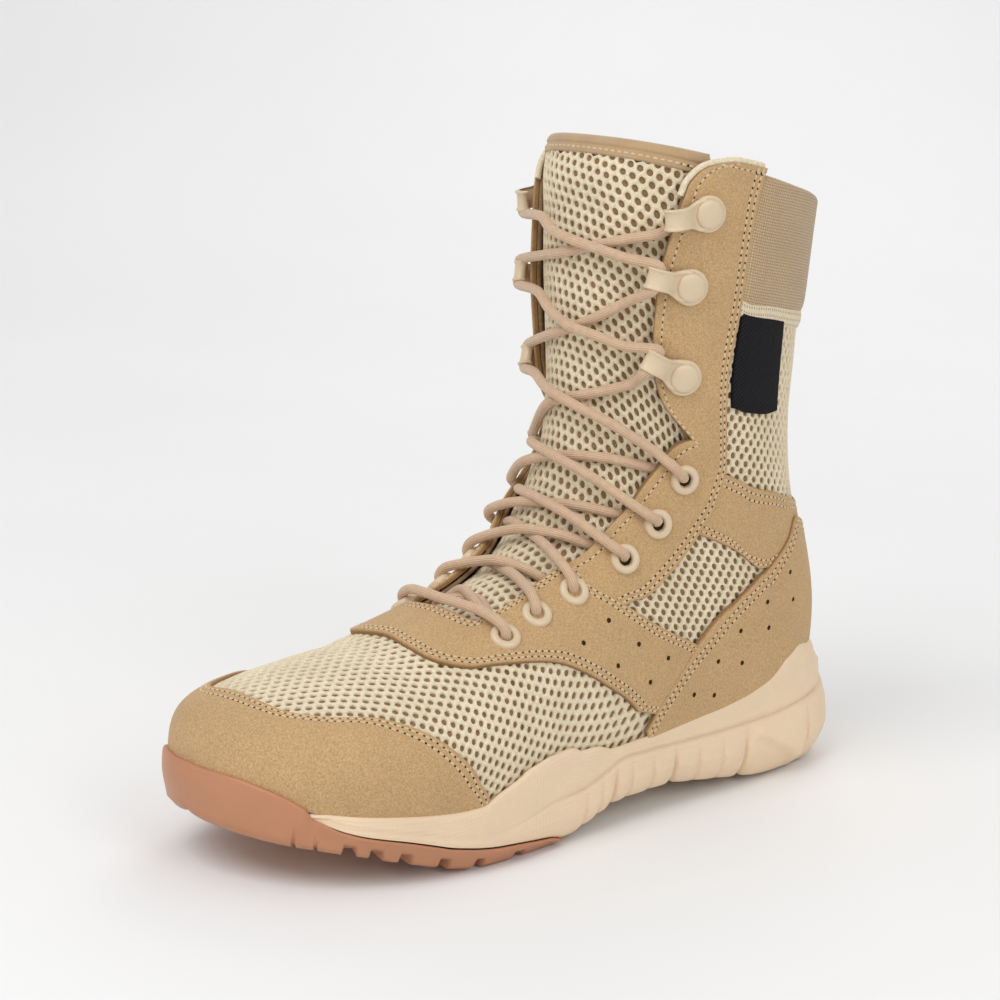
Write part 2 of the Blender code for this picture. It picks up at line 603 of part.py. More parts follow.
def outsole_half(u, side):
    """One side of a forefoot outsole section: its top from the middle out, then side and tread."""
    bumper_w, edge, edge_z, tread = by_section(TREAD, u)
    rim_w, rim = by_section(SOLE_RIM, u)[1:]
    row = sole_row(u)
    floor_z = row["middle_z"] - SEAT_CLEAR
    inner = [edge_point(u, side, -UNDERSIDE_INSET, floor_z)]
    if u <= BUMPER_END:
        inner += [
            edge_point(u, side, row["bottom"] + TOE_CLEAR, row["under_z"] - CLEAR),
            edge_point(u, side, row["crease"] + TOE_CLEAR, row["crease_z"]),
            lifted(u, side * (rim_w - RIM_TUCK_W), rim + CLEAR),
            lifted(u, side * bumper_w, CLEAR),
        ]
        top = lifted(u, side * bumper_w, BUMPER)
    elif u < CREAM_START:
        inner += [
            edge_point(u, side, row["under"] + CLEAR, row["under_z"] - SEAT_CLEAR),
            edge_point(u, side, row["bottom"] + TOE_CLEAR, row["bottom_z"] - TOE_CLEAR),
            lifted(u, side * (rim_w + RIM_TURN_W), rim + TOE_CLEAR),
            lifted(u, side * (rim_w - RIM_TUCK_W / 2), rim + TOE_CLEAR),
        ]
        top = lifted(u, side * rim_w, rim + TOE_CLEAR + GUM_STEP)
    else:
        for share in (0, 1 / 3, 2 / 3, 1):
            overhang = row["under"] + share * (row["bottom"] - row["under"])
            height = row["under_z"] + share * (row["bottom_z"] - row["under_z"])
            inner.append(edge_point(u, side, overhang + GAP, height - SEAT_CLEAR))
        top = edge_point(u, side, row["bottom"] + GUM_STEP, row["bottom_z"] - CLEAR)
    notch = notch_share(u, LUG_NOTCHES)
    depth = min(NOTCH_DEPTH, floor_z - PLATE - tread)
    lug = tread + notch * depth
    bevel_z = lug + BEVEL_SHARE * max(edge_z - tread - LUG_BEVEL, 0)
    inner_end = edge_point(u, side, edge - LUG_LENGTH, lug)
    middle = (inner_end + edge_point(u, -side, edge - LUG_LENGTH, lug)) / 2
    across = inner_end - middle
    reach = max(np.linalg.norm(across), FINE_WELD)
    centre = middle + across * min(CENTRE_LUG_HALF / reach, CENTRE_LUG_SHARE)
    beside = middle + across * min((CENTRE_LUG_HALF + LUG_DRAFT) / reach, CENTRE_LUG_FOOT_SHARE)
    outer = [
        top,
        edge_point(u, side, edge - notch * NOTCH_INSET, edge_z + notch * depth),
        edge_point(u, side, edge - LUG_BEVEL - notch * NOTCH_INSET, bevel_z),
        inner_end,
        edge_point(u, side, edge - LUG_LENGTH - LUG_DRAFT, tread + depth),
        np.array([*beside[:2], tread + depth]),
        centre,
    ]
    return inner + outer


def notch_share(u, notches):
    """1 inside a notch between lugs, 0 on a lug."""
    nearest = min(abs(u - notch) for notch in notches)
    return 1.0 if nearest < NOTCH_HALF_U + NOTCH_RAMP_U / 2 else 0.0


def notch_stations(notches):
    half, ramp = NOTCH_HALF_U, NOTCH_RAMP_U
    return [notch + step for notch in notches for step in (-half - ramp, -half, half, half + ramp)]


def add_outsoles():
    toe = [u for u in SOLE_RIM[:, 0] if u <= OUTSOLE_END]
    stations = np.unique(np.round(toe + notch_stations(LUG_NOTCHES) + [BUMPER_END, OUTSOLE_END], 3))
    rings = [outsole_half(u, 1) + outsole_half(u, -1)[::-1] for u in stations]
    add_loft("outsole_forefoot", rings, "gum")
    first, last = HEEL_PAD_ENDS
    along = list(np.linspace(first, last, HEEL_PAD_STATIONS))
    stations = np.unique(np.round(along + notch_stations(HEEL_PAD_NOTCHES), 3))
    rings = []
    for u in stations:
        top = sole_row(u)["middle_z"] - HEEL_PAD_DROP
        bottom = GROUND + notch_share(u, HEEL_PAD_NOTCHES) * HEEL_PAD_NOTCH_DEPTH
        inset, foot = -HEEL_PAD_INSET, -HEEL_PAD_INSET - HEEL_PAD_DRAFT
        lateral = [edge_point(u, 1, inset, top), edge_point(u, 1, foot, bottom)]
        rings.append(lateral + [edge_point(u, -1, foot, bottom), edge_point(u, -1, inset, top)])
    add_loft("outsole_heel", rings, "gum")


def add_insole():
    rings = []
    for u in INSOLE_SECTIONS:
        bottom = foot_edge(edge_row(u))[4] - SEAT_CLEAR + GAP
        corners = ((1, bottom), (1, bottom + INSOLE), (-1, bottom + INSOLE), (-1, bottom))
        rings.append([edge_point(u, side, -INSOLE_INSET, z) for side, z in corners])
    add_loft("insole", rings, "lining")


def hardware_frame(u, w, lift):
    """Places a fitting on the skin: its X points to the throat, its Z outwards."""
    outward, around = skin_axes(u, w)
    to_throat = Vector(-math.copysign(1, w) * around)
    up = Vector(outward)
    across = up.cross(to_throat).normalized()
    frame = Matrix((across.cross(up), across, up)).transposed().to_4x4()
    frame.translation = metres(lifted(u, w, lift))
    return frame


def turned_mesh(name, profile, steps):
    """A mesh turned about Z from a profile of (radius, height) points in millimetres."""
    bm = bmesh.new()
    points = [bm.verts.new((radius * MM, 0, height * MM)) for radius, height in profile]
    edges = [bm.edges.new(pair) for pair in zip(points, points[1:])]
    if profile[0][0] > 0:
        edges.append(bm.edges.new((points[-1], points[0])))
    bmesh.ops.spin(bm, geom=points + edges, axis=(0, 0, 1), cent=(0, 0, 0), angle=math.tau, steps=steps)
    bmesh.ops.remove_doubles(bm, verts=bm.verts, dist=FINE_WELD * MM)
    bmesh.ops.recalc_face_normals(bm, faces=bm.faces)
    mesh = bpy.data.meshes.new(name)
    bm.to_mesh(mesh)
    bm.free()
    return mesh


def joined_mesh(name, first, second):
    """Two helper objects made one closed mesh; the helpers are removed."""
    union = first.modifiers.new("join", "BOOLEAN")
    union.operation = "UNION"
    union.solver = "EXACT"
    union.object = second
    bpy.context.view_layer.update()
    mesh = bpy.data.meshes.new_from_object(first.evaluated_get(bpy.context.evaluated_depsgraph_get()))
    mesh.name = name
    for helper in (first, second):
        bpy.data.objects.remove(helper)
    return mesh


def add_eyelets():
    crown = (EYELET_INNER + EYELET_OUTER) / 2
    profile = [(EYELET_INNER, 0), (EYELET_OUTER, 0), (crown, EYELET_RISE)]
    ring = turned_mesh("eyelet", profile, TURNED_STEPS)
    for number, (u, w) in enumerate(EYELETS, 1):
        for side, word in ((1, "lateral"), (-1, "medial")):
            eyelet = add_piece(f"eyelet_{word}_{number}", ring, "painted_metal")
            eyelet.matrix_world = hardware_frame(u, side * w, FITTING_LIFT)


def hook_mesh():
    top = HOOK_PLATE + RIVET_RISE
    profile = [(0, 0), (HOOK_PLATE_RADIUS, 0), (HOOK_PLATE_RADIUS, HOOK_PLATE), (RIVET_RADIUS, HOOK_PLATE),
               (RIVET_RADIUS * RIVET_SHOULDER, top - RIVET_ROUND), (0, top)]
    plate = add_piece("plate", turned_mesh("plate", profile, TURNED_STEPS), "painted_metal")
    slopes = np.gradient(HOOK_PRONG[:, :2], axis=0)
    slopes /= np.linalg.norm(slopes, axis=1, keepdims=True)
    rings = []
    for (forward, height, half), (run, rise) in zip(HOOK_PRONG, slopes):
        lean = np.array([-rise, 0, run]) * PRONG_HALF
        middle = np.array([forward, 0, height])
        wide = np.array([0, half, 0])
        corners = (-lean - wide, wide - lean, lean + wide, lean - wide)
        rings.append([MIDDLE + middle + corner for corner in corners])
    prong = add_loft("prong", rings, "painted_metal")
    return joined_mesh("hook", plate, prong)


def add_hooks():
    shape = hook_mesh()
    for places, side, word in ((HOOKS, 1, "lateral"), (MEDIAL_HOOKS, -1, "medial")):
        for number, (u, w) in enumerate(places, 1):
            hook = add_piece(f"hook_{word}_{number}", shape, "painted_metal")
            level = Matrix.Rotation(side * HOOK_TURN, 4, "Z")
            hook.matrix_world = hardware_frame(u, side * w, FITTING_LIFT) @ level


def lace_tube(name, points):
    """A length of lace through points, as a mesh object."""
    line = bpy.data.curves.new(name, "CURVE")
    line.dimensions = "3D"
    line.bevel_depth = LACE_RADIUS * MM
    line.bevel_resolution = 2
    line.use_fill_caps = True
    spline = line.splines.new("POLY")
    spline.points.add(len(points) - 1)
    for place, point in zip(spline.points, points):
        place.co = (*metres(point), 1)
    guide = bpy.data.objects.new(name, line)
    bpy.data.collections[COLLECTION].objects.link(guide)
    bpy.context.view_layer.update()
    mesh = bpy.data.meshes.new_from_object(guide.evaluated_get(bpy.context.evaluated_depsgraph_get()))
    bpy.data.objects.remove(guide)
    bm = bmesh.new()
    bm.from_mesh(mesh)
    bmesh.ops.remove_doubles(bm, verts=bm.verts, dist=FINE_WELD * MM)
    bmesh.ops.recalc_face_normals(bm, faces=bm.faces)
    bm.to_mesh(mesh)
    bm.free()
    mesh.materials.clear()
    return add_piece(name, mesh, "lace")


def lace_points(low, high, side):
    """A strand from its low end on one side, over the middle of the tongue, to its high end."""
    share = np.array([0, 0.3, 0.7, 1.0])
    u = low[0] + share * (high[0] - low[0])
    w = side * np.interp(share, (0, 0.5, 1), (low[1], 0, -high[1]))
    lift = np.interp(share, (0, 0.5, 1), (low[2], LACE_MIDDLE_LIFT, high[2]))
    return lifted(u, w, lift)


def add_laces():
    lace_tube("lace_bar", lace_points(BAR, BAR, 1))
    for number, row in enumerate(CROSSINGS, 1):
        strands = [lace_tube("strand", lace_points(row[:3], row[3:], side)) for side in (1, -1)]
        add_piece(f"lace_cross_{number}", joined_mesh("lace_cross", *strands), "lace")


def main():
    for old in list(bpy.data.objects):
        bpy.data.objects.remove(old)
    bpy.context.scene.collection.children.link(bpy.data.collections.new(COLLECTION))
    add_upper()
    add_tongue()
    add_insole()
    add_midsole()
    add_outsoles()
    add_panels()
    add_eyelets()
    add_hooks()
    add_laces()


if __name__ == "__main__":
    main()
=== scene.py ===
"""Looks of the tactical boot: suede panels, open mesh, lacing and sole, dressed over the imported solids.

Tables are in millimetres and share the frame of the part's source: +X lateral, toe to -Y, +Z up. Places on
the upper are (u, w, lift): section number, share of the way round it from the front ridge, height over it.
"""

import math

import bpy
import numpy as np
from mathutils import Matrix, Vector


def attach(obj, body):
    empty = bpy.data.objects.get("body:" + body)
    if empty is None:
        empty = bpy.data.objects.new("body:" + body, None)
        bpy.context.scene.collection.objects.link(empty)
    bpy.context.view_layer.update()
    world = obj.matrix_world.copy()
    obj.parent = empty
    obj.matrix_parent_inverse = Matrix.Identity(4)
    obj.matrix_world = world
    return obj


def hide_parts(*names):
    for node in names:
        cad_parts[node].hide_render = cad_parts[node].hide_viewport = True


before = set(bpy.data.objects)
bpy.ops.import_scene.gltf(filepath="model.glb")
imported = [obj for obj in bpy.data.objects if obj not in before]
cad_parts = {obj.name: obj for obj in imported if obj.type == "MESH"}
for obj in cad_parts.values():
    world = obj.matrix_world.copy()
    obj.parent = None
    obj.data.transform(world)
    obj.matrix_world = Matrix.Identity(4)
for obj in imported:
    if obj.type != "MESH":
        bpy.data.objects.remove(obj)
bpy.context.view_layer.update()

MM = 0.001
GROUND = 4.0
MIDDLE = np.array([-0.67, 0.42, GROUND])

# Sole edge of the last: lateral x, lateral y, medial x, medial y, height
FEATHER = np.array([
    (-13, -147, -13, -147, 34.0),
    (17, -139, -37, -135, 31.5),
    (38, -115, -47.5, -108, 27.5),
    (46, -84, -48.5, -80, 22.5),
    (47, -55, -46, -50, 19.5),
    (43, -18, -38, -15, 19.5),
    (38.5, 25, -32, 22, 22.0),
    (36.5, 65, -31.5, 62, 25.0),
    (34, 100, -32, 98, 27.5),
    (25, 126, -24, 126, 29.0),
    (0, 139, 0, 139, 30.0),
])

# Sections of the last: ridge x, y, z; row of FEATHER under it; back seam y, z (from the heel up);
# widest lateral x, widest medial x; how far down the widest point lies; fullness of the top
SECTIONS = np.array([
    (-13, -146, 47, 0, 0, 0, -13, -13, 0.80, 2.0),
    (-12, -138, 60.5, 1, 0, 0, 20.5, -40.5, 0.69, 2.3),
    (-9, -114, 68, 2, 0, 0, 41.5, -50.5, 0.70, 2.3),
    (-5, -82, 74, 3, 0, 0, 49.5, -51, 0.72, 2.2),
    (-2, -52, 82.5, 4, 0, 0, 50.5, -49, 0.745, 2.15),
    (0, -24, 94, 5, 0, 0, 46, -42, 0.76, 2.2),
    (0, -3, 108, 6, 0, 0, 41.5, -38, 0.72, 2.3),
    (0, 7, 125, 7.2, 0, 0, 40, -38.5, 0.62, 2.4),
    (0, 11, 144, 8.6, 0, 0, 40, -39.5, 0.54, 2.4),
    (0, 12, 163, 10, 139, 30, 40.5, -40.5, 0.48, 2.4),
    (0, 12, 185, 10, 139, 62, 41.5, -41.5, 0.46, 2.4),
    (0, 12, 208, 10, 122.5, 115, 43, -43, 0.46, 2.4),
    (0, 12, 230, 10, 121, 165, 44.5, -44.5, 0.46, 2.4),
    (0, 12, 245, 10, 124, 208, 46, -46, 0.46, 2.4),
    (0, 14, 257, 10, 126.5, 232, 46.5, -45.5, 0.46, 2.4),
])
HEEL_SECTION = 9
LOWER_FULLNESS = 2.1

# Edge of the throat: u, w
THROAT = np.array([
    (4.20, 0.0), (4.24, 0.055), (4.32, 0.105), (4.60, 0.116), (4.95, 0.12), (5.35, 0.125),
    (5.70, 0.137), (6.05, 0.16), (6.40, 0.18), (7.00, 0.205), (7.50, 0.232), (8.10, 0.256),
    (8.60, 0.28), (9.00, 0.30), (9.35, 0.33), (9.62, 0.362), (9.70, 0.295), (9.95, 0.265),
    (10.4, 0.256), (11.2, 0.264), (11.7, 0.275), (12.3, 0.296), (12.9, 0.312), (13.3, 0.325),
    (13.75, 0.36), (14.0, 0.415), (14.08, 0.45),
])

# Panels, each a strip with one row for every rib across it: near u, near w, far u, far w.
# Ends and edges that lie under another panel or the sole reach a few millimetres below it.
TOE_CAP = np.array([
    (0, 0, 1.45, 0),
    (0, 0.12, 1.48, 0.10),
    (0, 0.24, 1.60, 0.17),
    (0, 0.34, 1.92, 0.224),
    (0.50, 0.46, 2.36, 0.262),
    (1.00, 0.56, 2.64, 0.305),
    (1.30, 0.67, 2.90, 0.355),
    (1.62, 0.76, 3.16, 0.415),
    (2.30, 0.76, 3.42, 0.48),
    (3.00, 0.74, 3.58, 0.56),
    (3.45, 0.72, 3.66, 0.65),
])
SADDLE = np.array([
    (4.22, 0, 3.43, 0),
    (4.22, 0.055, 3.40, 0.068),
    (4.30, 0.107, 3.46, 0.144),
    (4.60, 0.117, 3.74, 0.204),
    (4.95, 0.121, 4.12, 0.236),
    (5.35, 0.126, 4.58, 0.276),
    (5.88, 0.15, 4.95, 0.315),
    (5.95, 0.224, 5.24, 0.36),
    (6.17, 0.288, 5.46, 0.40),
    (6.38, 0.348, 5.64, 0.436),
    (6.69, 0.428, 5.82, 0.47),
    (7.0, 0.487, 6.0, 0.515),
    (7.25, 0.53, 6.2, 0.58),
])
FACING = np.array([
    (5.66, 0.135, 6.16, 0.325),
    (5.98, 0.156, 6.47, 0.343),
    (6.40, 0.18, 6.78, 0.368),
    (7.00, 0.205, 7.40, 0.384),
    (7.50, 0.232, 7.90, 0.394),
    (8.10, 0.256, 8.40, 0.405),
    (8.60, 0.28, 8.80, 0.418),
    (9.00, 0.30, 9.20, 0.434),
    (9.35, 0.33, 9.50, 0.445),
    (9.62, 0.362, 9.70, 0.450),
    (9.70, 0.295, 9.80, 0.452),
    (9.95, 0.265, 10.0, 0.452),
    (10.4, 0.256, 10.5, 0.459),
    (11.2, 0.264, 11.2, 0.477),
    (11.7, 0.275, 11.7, 0.490),
    (12.3, 0.296, 12.3, 0.496),
    (12.9, 0.312, 12.9, 0.498),
    (13.3, 0.325, 13.4, 0.500),
    (13.75, 0.36, 13.8, 0.503),
    (14.04, 0.425, 14.10, 0.507),
])
NOTCH_ROW = 9
ANKLE_BAND = np.array([
    (9.55, 0.42, 8.02, 0.372),
    (9.73, 0.460, 8.24, 0.410),
    (9.92, 0.50, 8.47, 0.449),
    (10.13, 0.545, 8.80, 0.50),
    (10.31, 0.59, 9.15, 0.555),
    (10.45, 0.64, 9.64, 0.606),
    (10.57, 0.69, 10.2, 0.684),
    (10.78, 0.80, 10.4, 0.798),
    (10.95, 0.90, 10.55, 0.90),
    (11.05, 1.0, 10.65, 1.0),
])
COUNTER = np.array([
    (6.00, 0.612, 6.0, 0.66),
    (6.24, 0.545, 6.22, 0.69),
    (6.58, 0.506, 6.50, 0.72),
    (7.02, 0.494, 6.94, 0.745),
    (7.78, 0.498, 7.40, 0.75),
    (8.82, 0.533, 7.80, 0.735),
    (9.24, 0.563, 8.12, 0.72),
    (9.75, 0.602, 8.50, 0.72),
    (10.22, 0.648, 8.84, 0.745),
    (10.42, 0.692, 9.05, 0.775),
    (10.60, 0.80, 9.30, 0.83),
    (10.76, 0.90, 9.5, 0.92),
    (10.86, 1.0, 9.6, 1.0),
])
COLLAR = np.array([
    (13.96, 0.46, 11.80, 0.455),
    (13.95, 0.516, 11.88, 0.50),
    (13.93, 0.60, 12.09, 0.58),
    (13.93, 0.70, 12.27, 0.69),
    (13.89, 0.80, 12.40, 0.80),
    (13.86, 0.90, 12.53, 0.90),
    (13.86, 1.0, 12.60, 1.0),
])
LABEL_PATCH = np.array([
    (11.76, 0.495, 10.62, 0.475),
    (11.87, 0.541, 10.83, 0.528),
    (11.98, 0.588, 11.02, 0.582),
    (12.06, 0.63, 11.20, 0.63),
])
# Tongue: u, half width in w
TONGUE = np.array([
    (3.6, 0.17), (4.2, 0.19), (4.8, 0.21), (5.3, 0.23), (5.7, 0.24), (6.1, 0.255), (6.5, 0.27),
    (7.0, 0.285), (7.6, 0.31), (8.3, 0.345), (9.2, 0.39), (10.4, 0.385), (12.2, 0.38), (13.58, 0.395),
])
TONGUE_TOP = np.array([(13.50, 0.39), (13.82, 0.395), (14.10, 0.385)])

# Midsole rim: u of the foot edge, u and w of the rim's top, thickness of the rim
SOLE_RIM = np.array([
    (0, 0, 0.60, 2.0), (0.2, 0.2, 0.62, 2.0), (0.45, 0.45, 0.64, 2.0), (0.75, 0.75, 0.66, 2.0),
    (1.0, 1.0, 0.69, 2.0), (1.3, 1.3, 0.735, 2.0), (1.46, 1.46, 0.765, 2.2),
    (1.54, 1.54, 0.76, 2.6), (1.62, 1.62, 0.742, 3.0), (2.0, 2.0, 0.742, 3.0),
    (2.5, 2.5, 0.725, 3.0), (3.1, 3.1, 0.705, 3.0), (3.55, 3.55, 0.668, 3.0), (3.75, 3.75, 0.59, 3.0),
    (4.15, 4.15, 0.497, 3.0), (4.5, 4.5, 0.487, 3.0), (4.76, 4.76, 0.488, 3.0),
    (4.9, 4.9, 0.49, 3.0), (5.3, 5.3, 0.53, 3.0),
    (5.5, 5.5, 0.60, 3.0), (6.0, 6.0, 0.65, 3.0), (6.4, 6.4, 0.68, 3.0), (6.95, 6.95, 0.715, 3.0),
    (7.3, 7.3, 0.72, 3.0), (7.7, 7.7, 0.712, 3.0), (8.0, 8.08, 0.69, 3.0), (8.3, 8.5, 0.688, 3.0),
    (8.6, 9.05, 0.735, 3.0), (8.8, 9.36, 0.808, 3.0), (8.92, 9.64, 0.9, 3.0), (9.0, 9.8, 1.0, 3.0),
])
# Midsole side: u, crease height, crease overhang, belly overhang, bottom height, bottom overhang,
# height of the middle of the underside
SOLE_SIDE = np.array([
    (0, 33.0, 2.2, 2.2, 31.5, 2.0, 30.0),
    (0.5, 32.0, 2.2, 2.2, 30.5, 2.0, 28.8),
    (1.0, 30.3, 2.3, 2.3, 28.6, 2.0, 27.2),
    (1.46, 28.5, 2.4, 2.4, 26.8, 2.0, 25.2),
    (1.62, 31.6, 4.3, 4.6, 29.8, 4.8, 24.7),
    (1.8, 29.5, 5.0, 5.2, 26.5, 5.4, 23.6),
    (2.05, 27.5, 5.4, 5.6, 24.0, 5.8, 22.0),
    (2.5, 24.5, 5.8, 6.0, 20.5, 6.2, 18.4),
    (3.05, 20.0, 6.0, 6.4, 15.3, 6.4, 13.4),
    (3.4, 18.0, 6.1, 6.5, 13.2, 6.4, 11.6),
    (3.7, 17.0, 6.2, 6.6, 11.8, 6.4, 11.0),
    (4.1, 19.0, 6.2, 6.6, 10.6, 6.2, 11.0),
    (4.6, 23.0, 6.4, 7.0, 8.4, 5.6, 11.0),
    (4.76, 23.2, 6.4, 7.1, 6.2, 5.0, 11.0),
    (5.0, 23.5, 6.4, 7.2, 7.0, 4.5, 11.5),
    (5.3, 27.0, 6.2, 7.4, 10.5, 4.5, 12.5),
    (5.55, 31.0, 6.0, 7.6, 13.0, 4.5, 13.5),
    (6.2, 30.0, 6.0, 8.0, 13.5, 5.0, 13.5),
    (6.8, 30.0, 6.4, 8.6, 9.5, 4.8, 9.5),
    (7.3, 31.0, 6.8, 9.2, 6.0, 4.2, 7.8),
    (7.8, 33.0, 7.2, 10.2, 5.0, 4.0, 7.6),
    (8.3, 36.0, 7.6, 11.6, 5.0, 4.6, 7.6),
    (8.6, 39.0, 8.0, 12.6, 5.2, 6.0, 7.6),
    (9.0, 41.0, 8.4, 13.4, 5.6, 7.0, 7.6),
])
# Upright grooves in the lower band of the midsole: u, depth
SIDE_GROOVES = np.array([
    (5.05, 1.2), (5.26, 1.2), (5.45, 2.4), (5.66, 1.2), (5.94, 1.2), (6.22, 2.4), (6.5, 1.2),
    (6.78, 1.2), (7.07, 2.4), (7.9, 2.0),
])
# Forefoot outsole: u, w of the bumper's top, edge overhang, edge height, tread height
TREAD = np.array([
    (0, 0.30, 4.4, 29.0, 25.0),
    (0.5, 0.42, 4.6, 26.5, 23.5),
    (1.0, 0.515, 4.8, 23.8, 21.5),
    (1.3, 0.63, 5.0, 22.2, 20.2),
    (1.46, 0.72, 5.2, 21.3, 19.5),
    (1.62, 0.74, 5.4, 20.4, 18.7),
    (2.05, 0.74, 5.0, 17.4, 16.0),
    (2.5, 0.74, 4.4, 12.8, 11.8),
    (3.05, 0.74, 3.8, 7.8, 6.6),
    (3.4, 0.74, 3.5, 5.8, 4.5),
    (3.65, 0.74, 3.2, 5.0, 4.0),
    (4.2, 0.74, 3.0, 4.8, 4.0),
    (4.72, 0.74, 2.6, 4.6, 4.0),
])
LUG_NOTCHES = np.array([1.92, 2.2, 2.52, 3.0, 3.52, 4.14])
SMALL_NOTCHES = np.array([1.36, 1.58])
FOREFOOT_END = 4.72

# Lacing hardware: u, w of each place
EYELETS = np.array([
    (4.42, 0.190), (4.98, 0.190), (5.66, 0.212), (6.74, 0.272), (7.66, 0.308), (8.86, 0.345),
])
HOOKS = np.array([(10.36, 0.336), (11.56, 0.348), (12.76, 0.376)])
MEDIAL_HOOKS = np.array([(10.2, 0.36), (11.44, 0.375), (12.82, 0.40)])
HOOK_TURNS = np.radians((15, 20, 27))
FITTING_LIFT = 2.5


# The skin of the last

def curve(table, place, before=None, after=None):
    """Smooth curve through a table's rows, read at row numbers."""
    first = 2 * table[0] - table[1] if before is None else before
    last = 2 * table[-1] - table[-2] if after is None else after
    rows = np.vstack([first, table, last, 2 * last - table[-1]])
    place = np.clip(np.asarray(place, float), 0, len(table))
    i = np.minimum(place.astype(int), len(table) - 1)
    t = (place - i)[..., None]
    a, b, c, d = rows[i], rows[i + 1], rows[i + 2], rows[i + 3]
    return b + t * (c - a) / 2 + t**2 * (a - 2.5 * b + 2 * c - d / 2) + t**3 * (1.5 * (b - c) + (d - a) / 2)


def foot_edge(row):
    swap = [2, 3, 0, 1, 4]
    return curve(FEATHER, row, FEATHER[1][swap], FEATHER[-2][swap])


def section(u):
    swap = [0, 1, 2, 3, 4, 5, 7, 6, 8, 9]
    return curve(SECTIONS, u, SECTIONS[1][swap])


def foot_row(sections):
    """Row of FEATHER under each section."""
    return np.clip(sections[..., 3], 0, len(FEATHER) - 1)


def foot_height(u):
    return foot_edge(foot_row(section(u)))[..., 4]


def throat(u):
    return np.interp(u, THROAT[:, 0], THROAT[:, 1])


def skin(u, w):
    """Points of the last in millimetres."""
    u, w = np.broadcast_arrays(np.asarray(u, float), np.asarray(w, float))
    w = np.where(u < 0, -w, w)
    u = np.abs(u)
    lateral = w >= 0
    w = np.minimum(np.abs(w), 1)
    s = section(u)
    edge = foot_edge(foot_row(s))
    seam = curve(SECTIONS[HEEL_SECTION:, 4:6], np.maximum(u - HEEL_SECTION, 0))
    over_heel = u >= HEEL_SECTION
    base_x = np.where(over_heel, 0, np.where(lateral, edge[..., 0], edge[..., 2]))
    base_y = np.where(over_heel, seam[..., 0], np.where(lateral, edge[..., 1], edge[..., 3]))
    base_z = np.where(over_heel, seam[..., 1], edge[..., 4])
    widest = np.where(lateral, s[..., 6], s[..., 7])
    above = np.minimum(w, 0.5) * math.pi
    below = np.maximum(w - 0.5, 0) * math.pi
    top_power = 2 / s[..., 9]
    low_power = 2 / LOWER_FULLNESS
    down = s[..., 8] * (1 - np.cos(above).clip(0) ** top_power)
    down = np.where(w <= 0.5, down, s[..., 8] + (1 - s[..., 8]) * np.sin(below) ** low_power)
    out = s[..., 0] + (widest - s[..., 0]) * np.sin(above) ** top_power
    out = np.where(w <= 0.5, out, base_x + (widest - base_x) * np.cos(below).clip(0) ** low_power)
    y = s[..., 1] + down * (base_y - s[..., 1])
    z = s[..., 2] + down * (base_z - s[..., 2])
    return np.stack([out, y, z], axis=-1)


def unit(vectors):
    return vectors / np.linalg.norm(vectors, axis=-1, keepdims=True)


# Steps for the skin's slope; round the heel's section, where the skin bends, the step along is longer
STEP_U, STEP_W, HEEL_STEP_U, HEEL_REACH_U = 0.02, 0.01, 0.24, 0.35


def skin_axes(u, w):
    """Unit vectors on the skin: outward, and round the section towards larger w."""
    step = STEP_U + HEEL_STEP_U * np.exp(-((u - HEEL_SECTION) / HEEL_REACH_U) ** 2)
    u = np.where(np.abs(w) < STEP_W, np.maximum(u, step), u)
    along = skin(u + step, w) - skin(u - step, w)
    around = skin(u, np.minimum(w + STEP_W, 1)) - skin(u, np.maximum(w - STEP_W, -1))
    return unit(np.cross(around, along)), unit(around)


# Soft troughs (-) and swells (+) of the worn upper: u, w, half length in u, half width in w, height
CREASES = np.array([
    (3.15, 0.10, 0.16, 0.16, -0.55),
    (3.15, -0.12, 0.15, 0.18, -0.55),
    (2.75, 0.0, 0.16, 0.26, 0.35),
    (5.0, 0.44, 0.30, 0.07, -0.45),
    (5.0, -0.44, 0.30, 0.07, -0.5),
    (8.9, 0.50, 0.35, 0.05, -0.8),
    (8.9, -0.50, 0.35, 0.05, -0.8),
    (10.9, 0.58, 0.30, 0.10, -0.6),
    (10.8, -0.60, 0.28, 0.10, -0.8),
    (11.5, 0.86, 0.30, 0.14, -0.7),
    (11.5, -0.86, 0.30, 0.14, -0.7),
    (12.2, -0.66, 0.25, 0.12, 0.4),
    (6.7, -0.21, 1.3, 0.13, 4.5),
])


def wear(u, w):
    return np.sum([high * np.exp(-((u - at_u) / long) ** 2 - ((w - at_w) / wide) ** 2)
                   for at_u, at_w, long, wide, high in CREASES], axis=0)


def lifted(u, w, lift):
    """Points so far out from the skin, as wear leaves it."""
    u, w = np.broadcast_arrays(np.asarray(u, float), np.asarray(w, float))
    return skin(u, w) + skin_axes(u, w)[0] * (np.asarray(lift) + wear(u, w))[..., None]


def lifted_rows(rows, side=1):
    return [lifted(u, side * w, lift) for u, w, lift in rows]


def run_of(points):
    """Distance along each line of points."""
    steps = np.linalg.norm(np.diff(points, axis=-2), axis=-1)
    return np.concatenate([np.zeros((*steps.shape[:-1], 1)), np.cumsum(steps, -1)], -1)


def smooth_step(value, start, end):
    share = np.clip((value - start) / (end - start), 0, 1)
    return share**2 * (3 - 2 * share)


def quarter(distance, radius):
    """0 at an edge, rising in a quarter of a circle to 1 at this distance from it."""
    return np.sqrt(1 - np.clip(1 - distance / radius, 0, 1) ** 2)


# Materials

def add_node(tree, kind, **settings):
    node = tree.nodes.new(kind)
    for name, value in settings.items():
        if name in node.inputs:
            node.inputs[name].default_value = value
        else:
            setattr(node, name, value)
    return node


